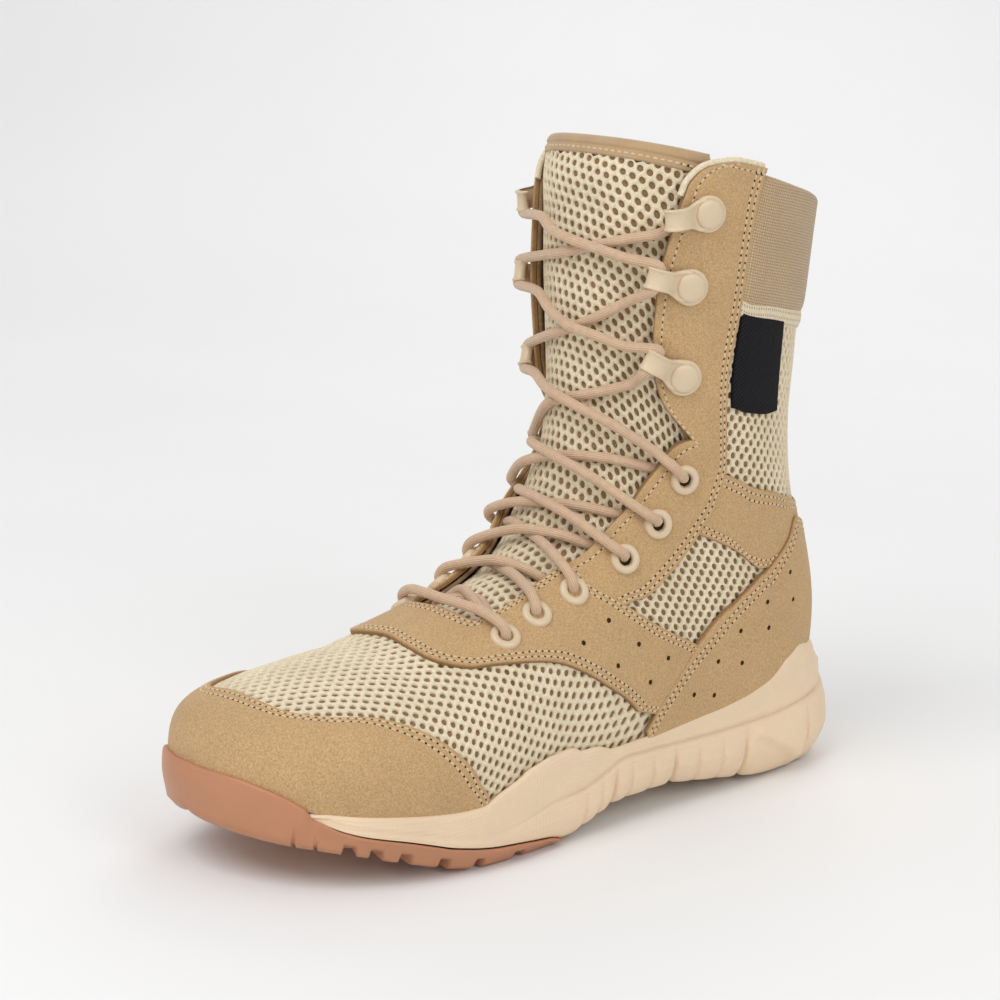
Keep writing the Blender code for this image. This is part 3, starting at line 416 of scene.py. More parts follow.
def noise(tree, scale, detail=3.0, rough=0.55):
    """Noise over the piece's own coordinates; scale is features per metre."""
    place = add_node(tree, "ShaderNodeTexCoord")
    cloud = add_node(tree, "ShaderNodeTexNoise", Scale=scale, Detail=detail, Roughness=rough)
    tree.links.new(place.outputs["Object"], cloud.inputs["Vector"])
    return cloud.outputs["Fac"]


def ramp(tree, value, stops):
    """Colour from a value; stops are (place, linear colour)."""
    node = add_node(tree, "ShaderNodeValToRGB")
    for element, (place, colour) in zip(node.color_ramp.elements, (stops[0], stops[-1])):
        element.position = place
        element.color = (*colour, 1)
    for place, colour in stops[1:-1]:
        node.color_ramp.elements.new(place).color = (*colour, 1)
    tree.links.new(value, node.inputs["Fac"])
    return node.outputs["Color"]


def mixed(tree, first, second):
    """The product of two colours."""
    node = add_node(tree, "ShaderNodeMix", data_type="RGBA", blend_type="MULTIPLY")
    node.inputs[0].default_value = 1.0
    tree.links.new(first, node.inputs[6])
    tree.links.new(second, node.inputs[7])
    return node.outputs[2]


def shade(colour, share):
    return tuple(channel * share for channel in colour)


def waves(tree, period, direction):
    """Bands over the UV map, which is in millimetres."""
    place = add_node(tree, "ShaderNodeTexCoord")
    bands = add_node(tree, "ShaderNodeTexWave", Scale=2 * math.pi / (20 * period), bands_direction=direction)
    tree.links.new(place.outputs["UV"], bands.inputs["Vector"])
    return bands.outputs["Fac"]


def weave(tree, size):
    """Over and under of a plain weave, from the UV map in millimetres."""
    place = add_node(tree, "ShaderNodeTexCoord")
    cells = add_node(tree, "ShaderNodeTexChecker", Scale=1 / size)
    tree.links.new(place.outputs["UV"], cells.inputs["Vector"])
    pick = add_node(tree, "ShaderNodeMix", data_type="FLOAT")
    tree.links.new(cells.outputs["Fac"], pick.inputs[0])
    tree.links.new(waves(tree, size, "X"), pick.inputs[2])
    tree.links.new(waves(tree, size, "Y"), pick.inputs[3])
    return pick.outputs[0]


def knit(tree, wide, tall):
    return mixed(tree, waves(tree, wide, "X"), waves(tree, tall, "Y"))


# Painted shade along the panels' edges: the attribute is 1 on a panel's rounded free edge and 0 inside it,
# and the suede is painted darker where it is high
def painted_edge_shade(tree):
    return add_node(tree, "ShaderNodeAttribute", attribute_name=PAINTED_EDGE_SHADE).outputs["Fac"]


PAINTED_EDGE_SHADE = "painted_edge_shade"


def tones(base, *stops):
    """Stops of a ramp from (place, share of the base colour)."""
    return [(place, shade(base, share)) for place, share in stops]


def new_finish(name, roughness, colours, bumps=(), **sockets):
    """A material from layers of colour (source, stops), multiplied, and of bump (source, height in mm).

    A source is a function that adds nodes to a tree, with its settings; one used twice is made once.
    """
    material = bpy.data.materials.new(name)
    material.use_nodes = True
    tree, made = material.node_tree, {}
    shader = tree.nodes["Principled BSDF"]
    for socket, value in dict(sockets, Roughness=roughness).items():
        shader.inputs[socket.replace("_", " ")].default_value = value
    for source, _ in (*colours, *bumps):
        if source not in made:
            made[source] = source[0](tree, *source[1:])
    colour = ramp(tree, made[colours[0][0]], colours[0][1])
    for source, stops in colours[1:]:
        colour = mixed(tree, colour, ramp(tree, made[source], stops))
    tree.links.new(colour, shader.inputs["Base Color"])
    normal = None
    for source, height in bumps:
        bump = add_node(tree, "ShaderNodeBump", Strength=1.0, Distance=height * MM)
        tree.links.new(made[source], bump.inputs["Height"])
        if normal is not None:
            tree.links.new(normal, bump.inputs["Normal"])
        normal = bump.outputs["Normal"]
        tree.links.new(normal, shader.inputs["Normal"])
    return material


LACE_RADIUS = 1.95
LACE_ROUND = math.tau * LACE_RADIUS
SUEDE, YARN, LINING = (0.56, 0.365, 0.18), (0.84, 0.725, 0.52), (0.27, 0.17, 0.08)
NYLON, HEM, BINDING = (0.585, 0.405, 0.225), (0.78, 0.66, 0.46), (0.47, 0.315, 0.17)
FOAM, GUM, LACE = (0.82, 0.635, 0.44), (0.50, 0.23, 0.122), (0.66, 0.455, 0.295)
# HOLE is painted shade: the dark inside needle holes, punched holes and eyelets
PAINT, THREAD, HOLE = (0.68, 0.54, 0.36), (0.70, 0.52, 0.32), (0.045, 0.027, 0.014)
TWILL, RIBS = (waves, math.tau / 7, "DIAGONAL"), (waves, LACE_ROUND / 14, "Y")
FINE, SPECK, FELT = (noise, 1500), (noise, 1500, 3, 0.7), (noise, 1400, 4, 0.75)
SOFT_CLOUDS = (0.3, (0.94, 0.93, 0.9)), (0.7, (1.04, 1.04, 1.04))


def make_finishes():
    return {
        "suede": new_finish(
            "suede_nap", 0.92,
            [((noise, 40, 4), tones(SUEDE, (0.25, 0.95), (0.75, 1.05))),
             (SPECK, [(0.28, (0.66, 0.64, 0.60)), (0.72, (1.22, 1.22, 1.22))]),
             # painted shade: the suede darkens on the rounded free edges of each panel
             ((painted_edge_shade,), [(0.08, (1, 1, 1)), (0.6, (0.52, 0.42, 0.32))])],
            [((noise, 900, 4, 0.7), 0.3), ((noise, 130), 0.12)],
            Sheen_Weight=0.25, Sheen_Roughness=0.4, Sheen_Tint=(1.0, 0.86, 0.66, 1)),
        "yarn": new_finish(
            "mesh_yarn", 0.8,
            [((noise, 900, 3, 0.7), tones(YARN, (0.3, 0.8), (0.65, 1.08))), ((noise, 45), SOFT_CLOUDS)],
            [(FELT, 0.3)], Sheen_Weight=0.15),
        "lining": new_finish(
            "lining_cloth", 0.95, [((noise, 700, 3, 0.7), tones(LINING, (0.3, 0.7), (0.7, 1.2)))],
            [((noise, 1100, 3, 0.7), 0.2)], Sheen_Weight=0.1),
        "nylon": new_finish(
            "nylon_weave", 0.6,
            [((weave, 1.1), tones(NYLON, (0.0, 0.55), (0.6, 1.0), (1.0, 1.15))),
             ((noise, 60), [(0.3, (0.95, 0.95, 0.94)), (0.7, (1.04, 1.04, 1.04))])],
            [((weave, 1.1), 0.3), ((noise, 1600), 0.05)], Sheen_Weight=0.2, Specular_IOR_Level=0.4),
        "hem": new_finish(
            "mesh_hem", 0.8,
            [((knit, 2.3, 1.4), tones(HEM, (0.0, 1), (0.5, 0.95), (0.8, 0.45))),
             ((noise, 900, 3, 0.7), [(0.3, (0.85, 0.84, 0.82)), (0.65, (1.05, 1.05, 1.05))])],
            [(FELT, 0.25)], Sheen_Weight=0.15),
        "label": new_finish(
            "label_twill", 0.85, [(TWILL, [(0.0, (0.004, 0.004, 0.005)), (1.0, (0.013, 0.013, 0.015))])],
            [(TWILL, 0.2), (FINE, 0.05)], Specular_IOR_Level=0.2),
        "binding": new_finish(
            "tongue_binding_cloth", 0.85, [((noise, 90), tones(BINDING, (0.3, 0.92), (0.7, 1.06)))],
            [((waves, 0.8, "X"), 0.06), ((noise, 1300, 3, 0.7), 0.08)], Sheen_Weight=0.3),
        "foam": new_finish(
            "midsole_foam", 0.55, [((noise, 30), tones(FOAM, (0.3, 0.95), (0.7, 1.03)))],
            [((waves, 1.5, "Y"), 0.05), ((waves, 1.7, "X"), 0.03), ((noise, 700), 0.04)],
            Subsurface_Weight=0.08, Subsurface_Radius=(0.004, 0.002, 0.001), Subsurface_Scale=0.4,
            Specular_IOR_Level=0.35),
        "gum": new_finish(
            "outsole_gum", 0.42, [((noise, 40), tones(GUM, (0.3, 0.93), (0.7, 1.05)))],
            [((noise, 500), 0.05), ((noise, 60), 0.1)],
            Subsurface_Weight=0.1, Subsurface_Radius=(0.004, 0.0015, 0.0008), Subsurface_Scale=0.4,
            Specular_IOR_Level=0.4),
        "lace": new_finish(
            "lace_braid", 0.8,
            [(RIBS, tones(LACE, (0.0, 0.82), (0.5, 1), (1.0, 1.06))),
             ((noise, 350, 3, 0.7), [(0.3, (0.9, 0.89, 0.88)), (0.7, (1.06, 1.06, 1.06))])],
            [(RIBS, 0.14), (SPECK, 0.12)], Sheen_Weight=0.3),
        "paint": new_finish(
            "hook_paint", 0.38, [((noise, 120), tones(PAINT, (0.3, 0.95), (0.7, 1.03)))],
            [((noise, 900), 0.02)], Coat_Weight=0.25, Coat_Roughness=0.25),
        "thread": new_finish(
            "seam_thread", 0.75, [((noise, 1300, 2), tones(THREAD, (0.3, 0.8), (0.7, 1.1)))],
            Sheen_Weight=0.2, Specular_IOR_Level=0.4),
        "hole": new_finish(
            "hole_shade", 0.75, [((noise, 1300, 2), tones(HOLE, (0.3, 0.8), (0.7, 1.1)))],
            Sheen_Weight=0.0, Specular_IOR_Level=0.0),
        "floor": new_finish(
            "studio_floor", 0.9, [((noise, 3), [(0.3, (0.87, 0.87, 0.87)), (0.7, (0.89, 0.89, 0.89))])],
            Specular_IOR_Level=0.1),
    }


# Making meshes

def add_mesh(name, points, quads, finish, slot, nodes=(), uv=None, bare=False, around=0.0, cut=None):
    """A piece of the boot from points in table millimetres and four-cornered faces."""
    points = np.asarray(points, float).reshape(-1, 3)
    quads = np.asarray(quads, np.int64).reshape(-1, 4)
    mesh = bpy.data.meshes.new(name)
    mesh.vertices.add(len(points))
    mesh.vertices.foreach_set("co", ((points - MIDDLE) * MM).astype(np.float32).ravel())
    mesh.loops.add(quads.size)
    mesh.loops.foreach_set("vertex_index", quads.ravel().astype(np.int32))
    mesh.polygons.add(len(quads))
    mesh.polygons.foreach_set("loop_start", np.arange(0, quads.size, 4, dtype=np.int32))
    if uv is not None:
        corners = np.asarray(uv, float).reshape(-1, 2)[quads]
        if around:
            high = corners[..., 1].max(axis=1, keepdims=True)
            corners[..., 1] += around * (high - corners[..., 1] > around / 2)
        mesh.uv_layers.new(name="UVMap").data.foreach_set("uv", corners.astype(np.float32).ravel())
    # cut carries the painted edge shade: 1 on a panel's rounded free edge, 0 inside
    if cut is not None:
        share = mesh.attributes.new(PAINTED_EDGE_SHADE, "FLOAT", "POINT")
        share.data.foreach_set("value", np.asarray(cut, np.float32).ravel())
    mesh.update(calc_edges=True)
    mesh.validate()
    mesh.polygons.foreach_set("use_smooth", np.ones(len(mesh.polygons), bool))
    mesh.materials.append(finish)
    if bare:
        return mesh
    return add_piece(name, mesh, nodes)


def add_piece(name, mesh, nodes=()):
    piece = bpy.data.objects.new(name, mesh)
    bpy.context.scene.collection.objects.link(piece)
    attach(piece, "root")
    if nodes:
        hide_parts(*nodes)
    return piece


def grid_quads(rows, columns, ring=False):
    """Faces of a grid of points; a ring joins each row's last point to its first."""
    i, j = np.meshgrid(np.arange(rows - 1), np.arange(columns if ring else columns - 1), indexing="ij")
    low, k = i * columns, (j + 1) % columns
    return np.stack([low + j, low + k, low + columns + k, low + columns + j], -1).reshape(-1, 4)


def shell_quads(rows, columns):
    """Faces of a closed shell: the first rows x columns points are its top, the next its underside."""
    count = rows * columns
    top = grid_quads(rows, columns)
    index = np.arange(count).reshape(rows, columns)
    rim = np.concatenate([index[0, :-1], index[:-1, -1], index[-1, :0:-1], index[:0:-1, 0]])
    after = np.roll(rim, -1)
    walls = np.stack([after, rim, rim + count, after + count], -1)
    return np.vstack([top, top[:, ::-1] + count, walls])


def merged(points, steps):
    """Points that differ on a grid of so many steps a millimetre: their numbers, and each point's one."""
    cells = (points * steps).round().astype(int)
    _, first, shared = np.unique(cells, axis=0, return_index=True, return_inverse=True)
    return first, shared.reshape(-1)


def facing_out(points, quads, outward, at):
    """The faces, turned round if the face at this number looks inwards."""
    a, b, c = points[quads[at, 0]], points[quads[at, 1]], points[quads[at, 2]]
    return quads[:, ::-1] if np.dot(np.cross(b - a, c - b), outward) < 0 else quads


def add_shell(name, u, w, top, bottom, finish, slot, nodes=(), cut=None):
    rows, columns = u.shape
    points = np.concatenate([lifted(u, w, top).reshape(-1, 3), lifted(u, w, bottom).reshape(-1, 3)])
    quads = shell_quads(rows, columns)
    at = (rows // 2) * (columns - 1) + columns // 2
    quads = facing_out(points, quads, skin_axes(u, w)[0][rows // 2, columns // 2], at)
    face = points[:rows * columns].reshape(rows, columns, 3)
    across = run_of(face)
    middle = columns // 2
    along = run_of(face[:, middle])
    uv = np.stack([across - across[:, middle:middle + 1], np.broadcast_to(along[:, None], across.shape)], -1)
    uv = np.concatenate([uv.reshape(-1, 2)] * 2)
    # cut is the painted edge shade of the top face; the underside gets all of it
    if cut is not None:
        cut = np.concatenate([cut.ravel(), np.ones(cut.size)])
    return add_mesh(name, points, quads, finish, slot, nodes, uv, cut=cut)


# Panels

EDGE_STEPS = np.array([0, 0.12, 0.35, 0.75, 1.2, 1.7, 2.2, 2.9, 3.7, 4.2, 4.7, 5.6])
CHANNEL_DEPTH, CHANNEL_HALF = 0.28, 0.55
EDGE_ROUND, COLLAR_ROUND, LABEL_ROUND = 0.7, 2.6, 0.5
# How far a panel reaches down below its base, and how many rows its seams leave free at both ends
UNDER_PANEL, SEAM_SKIP = 0.3, 2


def medial(rows):
    return rows * (1, -1, 1, -1)


def over_ridge(rows, shorter=0.0):
    """Rows on over the ridge to the medial side, where the far edge may lie this much lower in u."""
    return np.vstack([(medial(rows) - (0, 0, shorter, 0))[:0:-1], rows])


def round_heel(rows):
    """Rows on round the back seam: past it w goes on to 2, which is the medial side's 0."""
    return np.vstack([rows, (medial(rows) + (0, 2, 0, 2))[-2::-1]])


def signed(w):
    return np.where(w > 1, w - 2, w)


def spread(length, count):
    """Places along a length: close together at both ends, then evenly."""
    length = np.asarray(length, float)[..., None]
    near = EDGE_STEPS * np.minimum(1, 0.46 * length / EDGE_STEPS[-1])
    far = length - near[..., ::-1]
    share = np.linspace(0, 1, count + 2)[1:-1]
    return np.concatenate([near, near[..., -1:] + share * (far[..., :1] - near[..., -1:]), far], -1)


def between(ribs, share):
    """Places (u, w) on each rib, at shares of the way from its near end to its far end."""
    u, w = (ribs[:, i:i + 1] + share * (ribs[:, i + 2:i + 3] - ribs[:, i:i + 1]) for i in (0, 1))
    return u, signed(w)


class Panel:
    """A panel's fine grid on the skin, with each point's distance from the four edges."""

    def __init__(self, rows, along, across, corner=None):
        self.rows, self.corner = rows, corner
        place = np.linspace(0, len(rows) - 1, 40 * len(rows))
        ribs = self.ribs(place)
        run = run_of(skin((ribs[:, 0] + ribs[:, 2]) / 2, signed((ribs[:, 1] + ribs[:, 3]) / 2)))
        self.along = spread(run[-1], along)
        ribs = self.ribs(np.interp(self.along, run, place))
        path = skin(*between(ribs, np.linspace(0, 1, 9)))
        length = np.linalg.norm(np.diff(path, axis=1), axis=2).sum(1)
        self.across = spread(length, across)
        self.u, self.w = between(ribs, self.across / length[:, None])
        self.edges = {
            "near": self.across,
            "far": length[:, None] - self.across,
            "start": np.broadcast_to(self.along[:, None], self.u.shape),
            "end": np.broadcast_to(run[-1] - self.along[:, None], self.u.shape),
        }

    def ribs(self, place):
        if self.corner is None:
            ribs = curve(self.rows, place)
        else:
            low = curve(self.rows[:self.corner + 1], np.minimum(place, self.corner))
            high = curve(self.rows[self.corner:], np.maximum(place - self.corner, 0))
            ribs = np.where((place < self.corner)[:, None], low, high)
        ribs[:, [0, 2]] = ribs[:, [0, 2]].clip(0)
        ribs[:, [1, 3]] = ribs[:, [1, 3]].clip(-1, 2)
        return ribs

    def rounding(self, free, radius):
        """0 at a free edge, rising in a quarter of a circle to 1."""
        return quarter(np.min([self.edges[edge] for edge in free], axis=0), radius)

    def lift(self, base, thick, seams, radius):
        """Height of the panel's face: rounded at its free edges, pressed in along the seams inside them."""
        lift = base + thick * self.rounding(seams, radius)
        for edge, rows in seams.items():
            for row in rows:
                lift -= CHANNEL_DEPTH * np.exp(-((self.edges[edge] - row) / CHANNEL_HALF) ** 2)
        return lift

    def line(self, edge, inset):
        """Places (u, w) of a line that runs so far inside an edge."""
        grids = self.u, self.w, self.edges[edge]
        if edge in ("start", "end"):
            grids = [grid.T for grid in grids]
        if edge in ("far", "end"):
            grids = [grid[:, ::-1] for grid in grids]
        u, w, distance = grids
        rows = range(SEAM_SKIP, len(u) - SEAM_SKIP)
        places = [[np.interp(inset, distance[i], grid[i]) for grid in (u, w)] for i in rows]
        return np.array(places).T


# Stitches

STITCH_PITCH, STITCH_LENGTH, STITCH_HALF, STITCH_RISE, STITCH_SIDES = 2.75, 2.1, 0.5, 0.12, 6
NEEDLE_RADIUS, NEEDLE_RISE, PUNCH_RISE = 0.55, 0.1, 0.06
# Stitches, and the domes of painted shade in every hole
stitches, painted_hole_shade = [], []


def repeated(shape, quads, origin, axes):
    """Copies of a small shape, each in its own axes: points and faces."""
    points = origin[:, None] + np.einsum("ki,nij->nkj", shape, np.stack(axes, 1))
    faces = quads[None] + len(shape) * np.arange(len(origin))[:, None, None]
    return points.reshape(-1, 3), faces.reshape(-1, 4)


def joined(groups):
    """Several (points, faces) as one."""
    starts = np.cumsum([0] + [len(points) for points, _ in groups])
    faces = [quads + start for (_, quads), start in zip(groups, starts)]
    return np.vstack([points for points, _ in groups]), np.vstack(faces)


def circle(sides):
    return np.arange(sides) * math.tau / sides


def bead():
    """A stitch along X, with its ends turned down."""
    along = np.array([-0.5, -0.35, 0.0, 0.35, 0.5]) * STITCH_LENGTH
    thick = np.array([0.35, 0.85, 1.0, 0.85, 0.35]) * STITCH_HALF
    drop = np.array([0.55, 0.15, 0.0, 0.15, 0.55]) * STITCH_HALF
    turn = circle(STITCH_SIDES)
    points = [(x, t * math.cos(a), 0.8 * t * math.sin(a) - d)
              for x, t, d in zip(along, thick, drop) for a in turn]
    return np.array(points), grid_quads(len(along), STITCH_SIDES, ring=True)


def pit(radius, rise):
    """A small dark dome of painted shade, eight-sided: the mouth of a needle hole or of a punched hole."""
    rings = [(radius * share * math.cos(a), radius * share * math.sin(a), height)
             for share, height in ((1.0, -0.3), (0.95, rise * 0.7), (0.4, rise)) for a in circle(8)]
    cap = [(16, 17, 18, 19), (16, 19, 20, 23), (20, 21, 22, 23)]
    return np.array(rings), np.vstack([grid_quads(3, 8, ring=True), cap])


def line_axes(line, lift, at):
    """Points on a sewn line at these shares of it, with axes along, across and out."""
    points = lifted(line[0], line[1], lift)
    run = run_of(points)
    at = np.asarray(at) * run[-1]
    read = lambda table, step: np.stack([np.interp(at + step, run, column) for column in table.T], -1)
    ends = read(points, -0.4), read(points, 0.4)
    along = unit(ends[1] - ends[0])
    across = unit(np.cross(read(skin_axes(*line)[0], 0), along))
    return (ends[0] + ends[1]) / 2, (along, across, np.cross(along, across))


def sew(line, lift):
    """A row of stitches along a line of places, and the needle holes between them."""
    length = run_of(lifted(line[0], line[1], lift))[-1]
    count = max(int(length / STITCH_PITCH), 1)
    shape, quads = bead()
    at = (np.arange(count) + 0.5) / count
    stitches.append(repeated(shape, quads, *line_axes(line, lift + STITCH_RISE, at)))
    shape, quads = pit(NEEDLE_RADIUS, NEEDLE_RISE)
    painted_hole_shade.append(repeated(shape, quads, *line_axes(line, lift, np.arange(1, count) / count)))


def punch(places, side, lift, radius):
    """Punched holes at places (u, w) on one side's panel, drawn as dark domes of painted shade."""
    u, w = np.array(places).T * [[1], [side]]
    out, around = skin_axes(u, w)
    shape, quads = pit(radius, PUNCH_RISE)
    painted_hole_shade.append(repeated(shape, quads, lifted(u, w, lift), (around, np.cross(out, around), out)))


def add_panel(name, node, rows, base, thick, along, across, seams, finish, slot,
              corner=None, radius=EDGE_ROUND):
    """A panel; seams holds each free edge, with the distances of its rows of stitches from it."""
    panel = Panel(rows, along, across, corner)
    top = panel.lift(base, thick, seams, radius)
    # Painted edge shade: 1 at the free edges and 0 inside, darkening the suede there
    cut = 1 - panel.rounding(seams, radius)
    add_shell(name, panel.u, panel.w, top, base - UNDER_PANEL, finish, slot, (node,), cut)
    for edge, insets in seams.items():
        for inset in insets:
            sew(panel.line(edge, inset), base + thick - CHANNEL_DEPTH)


SEAM, ONE_ROW = (1.8, 3.9), (4.2,)
BAND_SEAMS = {"near": SEAM, "far": SEAM}
FACING_SEAMS = {"near": ONE_ROW, "far": SEAM, "end": ONE_ROW}
# Piece, CAD node, rows, base, thickness, steps along and across, seams, row of a corner
SUEDE_PANELS = [
    ("toe_cap_suede", "toe_cap", over_ridge(TOE_CAP, 0.07), 0.15, 1.6, 220, 20, {"far": SEAM}, None),
    ("saddle_suede", "vamp_saddle", over_ridge(SADDLE), 0.1, 1.9, 260, 12, {"far": SEAM, "near": SEAM}, None),
    ("facing_suede_lateral", "facing_lateral", FACING, -0.5, 2.1, 220, 10, FACING_SEAMS, NOTCH_ROW),
    ("facing_suede_medial", "facing_medial", medial(FACING), -0.5, 2.1, 220, 10, FACING_SEAMS, NOTCH_ROW),
    ("ankle_suede", "ankle_band", round_heel(ANKLE_BAND), 0.1, 1.1, 200, 6, BAND_SEAMS, None),
    ("counter_suede", "heel_counter", round_heel(COUNTER), 0.9, 1.7, 240, 14, {"near": SEAM}, None),
]
# The hem's roll, from the collar's lower edge: how far it starts above and ends below that edge, in u
HEM_ABOVE, HEM_BELOW = 0.05, 0.17


def add_panels(finishes):
    for *panel, corner in SUEDE_PANELS:
        add_panel(*panel, finishes["suede"], "suede", corner)
    collar = Panel(round_heel(COLLAR), 200, 24)
    soft = smooth_step(np.minimum(collar.edges["start"], collar.edges["end"]), 2, 15)
    top = collar.lift(-0.4, 2.5, {"near": ()}, COLLAR_ROUND) - 1.7 * (1 - soft)
    top -= 1.2 * np.exp(-collar.edges["far"] / 1.5)
    under = -0.6 - 2.2 * quarter(collar.edges["near"], COLLAR_ROUND)
    piece = add_shell("collar_nylon", collar.u, collar.w, top, under, finishes["nylon"], "nylon", ("collar",))
    bare_edges = dict.fromkeys(("near", "far", "start", "end"), ())
    add_panel("label_patch", "label", LABEL_PATCH, 0.3, 0.9, 30, 12, bare_edges, finishes["label"], "label",
              radius=LABEL_ROUND)
    edge = COLLAR[:, 2:]
    fold = Panel(round_heel(np.hstack([edge, edge]) + (HEM_ABOVE, 0, -HEM_BELOW, 0)), 200, 4)
    share = fold.across / fold.across[:, -1:]
    top = -0.6 + 2.0 * np.sqrt(1 - (2 * share - 1) ** 2)
    add_shell("hem_roll", fold.u, fold.w, top, -0.9, finishes["hem"], "mesh")


# Open mesh cloth

CLOTH_DEPTH, CLOTH_GAP, LINING_DEPTH = 0.95, 0.05, 2.4
ROW_RISE = 0.19
VAMP_TURN, TONGUE_TURN = 0.11, -0.18
# Step of the charts round a section, and how far they reach
ROUND_STEP, SECTION_REACH, HEIGHT_REACH = 0.5, 150, 180


def read_grid(grid, row, column):
    """A grid's values at row and column numbers with fractions."""
    row, column = (np.clip(at, 0, size - 1.001) for at, size in zip((row, column), grid.shape))
    i, j = row.astype(int), column.astype(int)
    s, t = row - i, column - j
    low = grid[i, j] + t * (grid[i, j + 1] - grid[i, j])
    return low + s * (grid[i + 1, j] + t * (grid[i + 1, j + 1] - grid[i + 1, j]) - low)


def by_sections(around, along, first, last):
    """Places (u, w): so far round a section from the ridge, so far along the ridge from the first section."""
    fine_u, fine_w = np.linspace(first, last, 300), np.linspace(0, 1, 161)
    steps = np.arange(0, SECTION_REACH, ROUND_STEP)
    u = np.interp(along, run_of(skin(fine_u, 0)), fine_u)
    w = np.empty_like(u)
    for side in (1, -1):
        chart = np.array([np.interp(steps, run_of(skin(at, side * fine_w)), fine_w) for at in fine_u])
        pick = np.where(around < 0, -1, 1) == side
        row = (u[pick] - first) / (last - first) * (len(fine_u) - 1)
        w[pick] = side * read_grid(chart, row, np.abs(around[pick]) / ROUND_STEP)
    return u, w


def by_height(around, height):
    """Places (u, w): so far round from the back seam, at this height."""
    fine_u, fine_w = np.linspace(5, 14.1, 365), np.linspace(1, 0.28, 145)
    levels, steps = np.arange(40.0, 226.0), np.arange(0, HEIGHT_REACH, ROUND_STEP)
    u, w = np.empty_like(around), np.empty_like(around)
    for side in (1, -1):
        heights = np.maximum.accumulate(skin(fine_u[:, None], side * fine_w)[..., 2], axis=0)
        lines = np.array([np.interp(levels, column, fine_u) for column in heights.T]).T
        runs = [run_of(skin(line, side * fine_w)) for line in lines]
        pick = np.where(around < 0, -1, 1) == side
        at = height[pick] - levels[0], np.abs(around[pick]) / ROUND_STEP
        u[pick] = read_grid(np.array([np.interp(steps, run, line) for run, line in zip(runs, lines)]), *at)
        w[pick] = side * read_grid(np.array([np.interp(steps, run, fine_w) for run in runs]), *at)
    return u, w


def skewed(place, turn):
    """The same chart with its cloth turned by this angle."""
    c, s = math.cos(turn), math.sin(turn)
    return lambda around, along: place(c * around - s * along, c * along + s * around)


def rising(around, height):
    """By height, with the cloth's rows rising towards the front."""
    return by_height(around, height + ROW_RISE * np.abs(around))


def add_cloth(name, place, keep, reach, pitch, hole, finish, lift=lambda u, w: 0.0):
    """Knitted cloth with real holes: six-sided cells, each a rounded frame round its hole.

    reach is (lowest, highest) round and (lowest, highest) along, pitch the cells' spacing both ways.
    """
    columns = np.arange(math.floor(reach[0] / pitch[0]), math.ceil(reach[1] / pitch[0]) + 1)
    rows = np.arange(math.floor(reach[2] / pitch[1]), math.ceil(reach[3] / pitch[1]) + 1)
    i, j = [grid.ravel() for grid in np.meshgrid(columns, rows)]
    centre = np.stack([(i + 0.5 * (j % 2)) * pitch[0], j * pitch[1]], -1)
    u, w = place(*centre.T)
    centre = centre[keep(u, w)]
    half, top, low = pitch[0] / 2, pitch[1] * 2 / 3, pitch[1] / 3
    corners = np.array([(0, top), (half, low), (half, -low), (0, -top), (-half, -low), (-half, low)])
    frame_points = np.stack([corners, (corners + np.roll(corners, -1, axis=0)) / 2], 1).reshape(-1, 2)
    mouth = unit(frame_points / hole) * hole / 2
    sides = len(frame_points)
    outer = (centre[:, None] + frame_points).reshape(-1, 2)
    first, shared = merged(outer, 100)
    outer, shared = outer[first], shared.reshape(-1, sides)
    flat = [outer] + [(centre[:, None] + mouth * share).reshape(-1, 2) for share in (1.12, 0.98, 0.92)]
    depth = (0.0, -0.12, -0.45, -CLOTH_DEPTH)
    u, w = place(*np.vstack(flat).T)
    lifts = np.concatenate([np.full(len(part), deep) for part, deep in zip(flat, depth)])
    points = lifted(u, w, lift(u, w) + lifts)
    start = np.cumsum([0] + [len(part) for part in flat])
    ring = np.arange(len(centre) * sides).reshape(-1, sides)
    loops = [shared] + [ring + begin for begin in start[1:4]]
    quads = [np.stack([a, np.roll(a, -1, 1), np.roll(b, -1, 1), b], -1).reshape(-1, 4)
             for a, b in zip(loops, loops[1:])]
    quads = facing_out(points, np.vstack(quads), skin_axes(u[:1], w[:1])[0][0], 0)
    add_mesh(name, points, quads, finish, "mesh")


def edge_line(rows, end, ahead):
    """A panel's edge as a function of w: u at the same place, moved by so much."""
    u, w = rows[:, end], rows[:, end + 1]
    order = np.argsort(w)
    return lambda at: np.interp(np.abs(at), w[order], u[order]) + ahead


def add_cloths(yarn):
    cap, saddle = edge_line(TOE_CAP, 2, -0.2), edge_line(SADDLE, 2, 0.35)
    rim = lambda u: np.interp(u, SOLE_RIM[:, 0], SOLE_RIM[:, 2]) + 0.05
    on_vamp = lambda u, w: (u > cap(w)) & (u < saddle(w)) & (np.abs(w) < rim(u)) & (u > 1.1)
    chart = skewed(lambda around, along: by_sections(around, along, 1.0, 6.75), VAMP_TURN)
    add_cloth("vamp_mesh", chart, on_vamp, (-115, 115, -20, 200), (4.6, 2.95), (2.4, 2.5), yarn)
    rear = lambda u: np.interp(u, FACING[:, 2], FACING[:, 3]) - 0.045
    band_top, band_low = edge_line(ANKLE_BAND, 0, -0.2), edge_line(ANKLE_BAND, 2, 0.35)
    hem = edge_line(COLLAR, 2, 0.0)
    counter, wing = edge_line(COUNTER[4:], 0, -0.4), edge_line(SADDLE[6:], 0, -0.4)
    on_shaft = lambda u, w: (np.abs(w) > rear(u)) & (u > band_top(w)) & (u < hem(w))
    on_quarter = lambda u, w: ((np.abs(w) > rear(u)) & (u < band_low(w)) & (u > wing(w)) & (np.abs(w) < 0.70)
                               & ((np.abs(w) < 0.53) | (u > counter(w))))
    add_cloth("shaft_mesh", rising, on_shaft, (-110, 110, 95, 215), (4.6, 2.85), (2.6, 2.8), yarn)
    add_cloth("quarter_mesh", rising, on_quarter, (-170, 170, 15, 140), (4.6, 2.85), (2.6, 2.8), yarn)


# Upper, tongue and insole

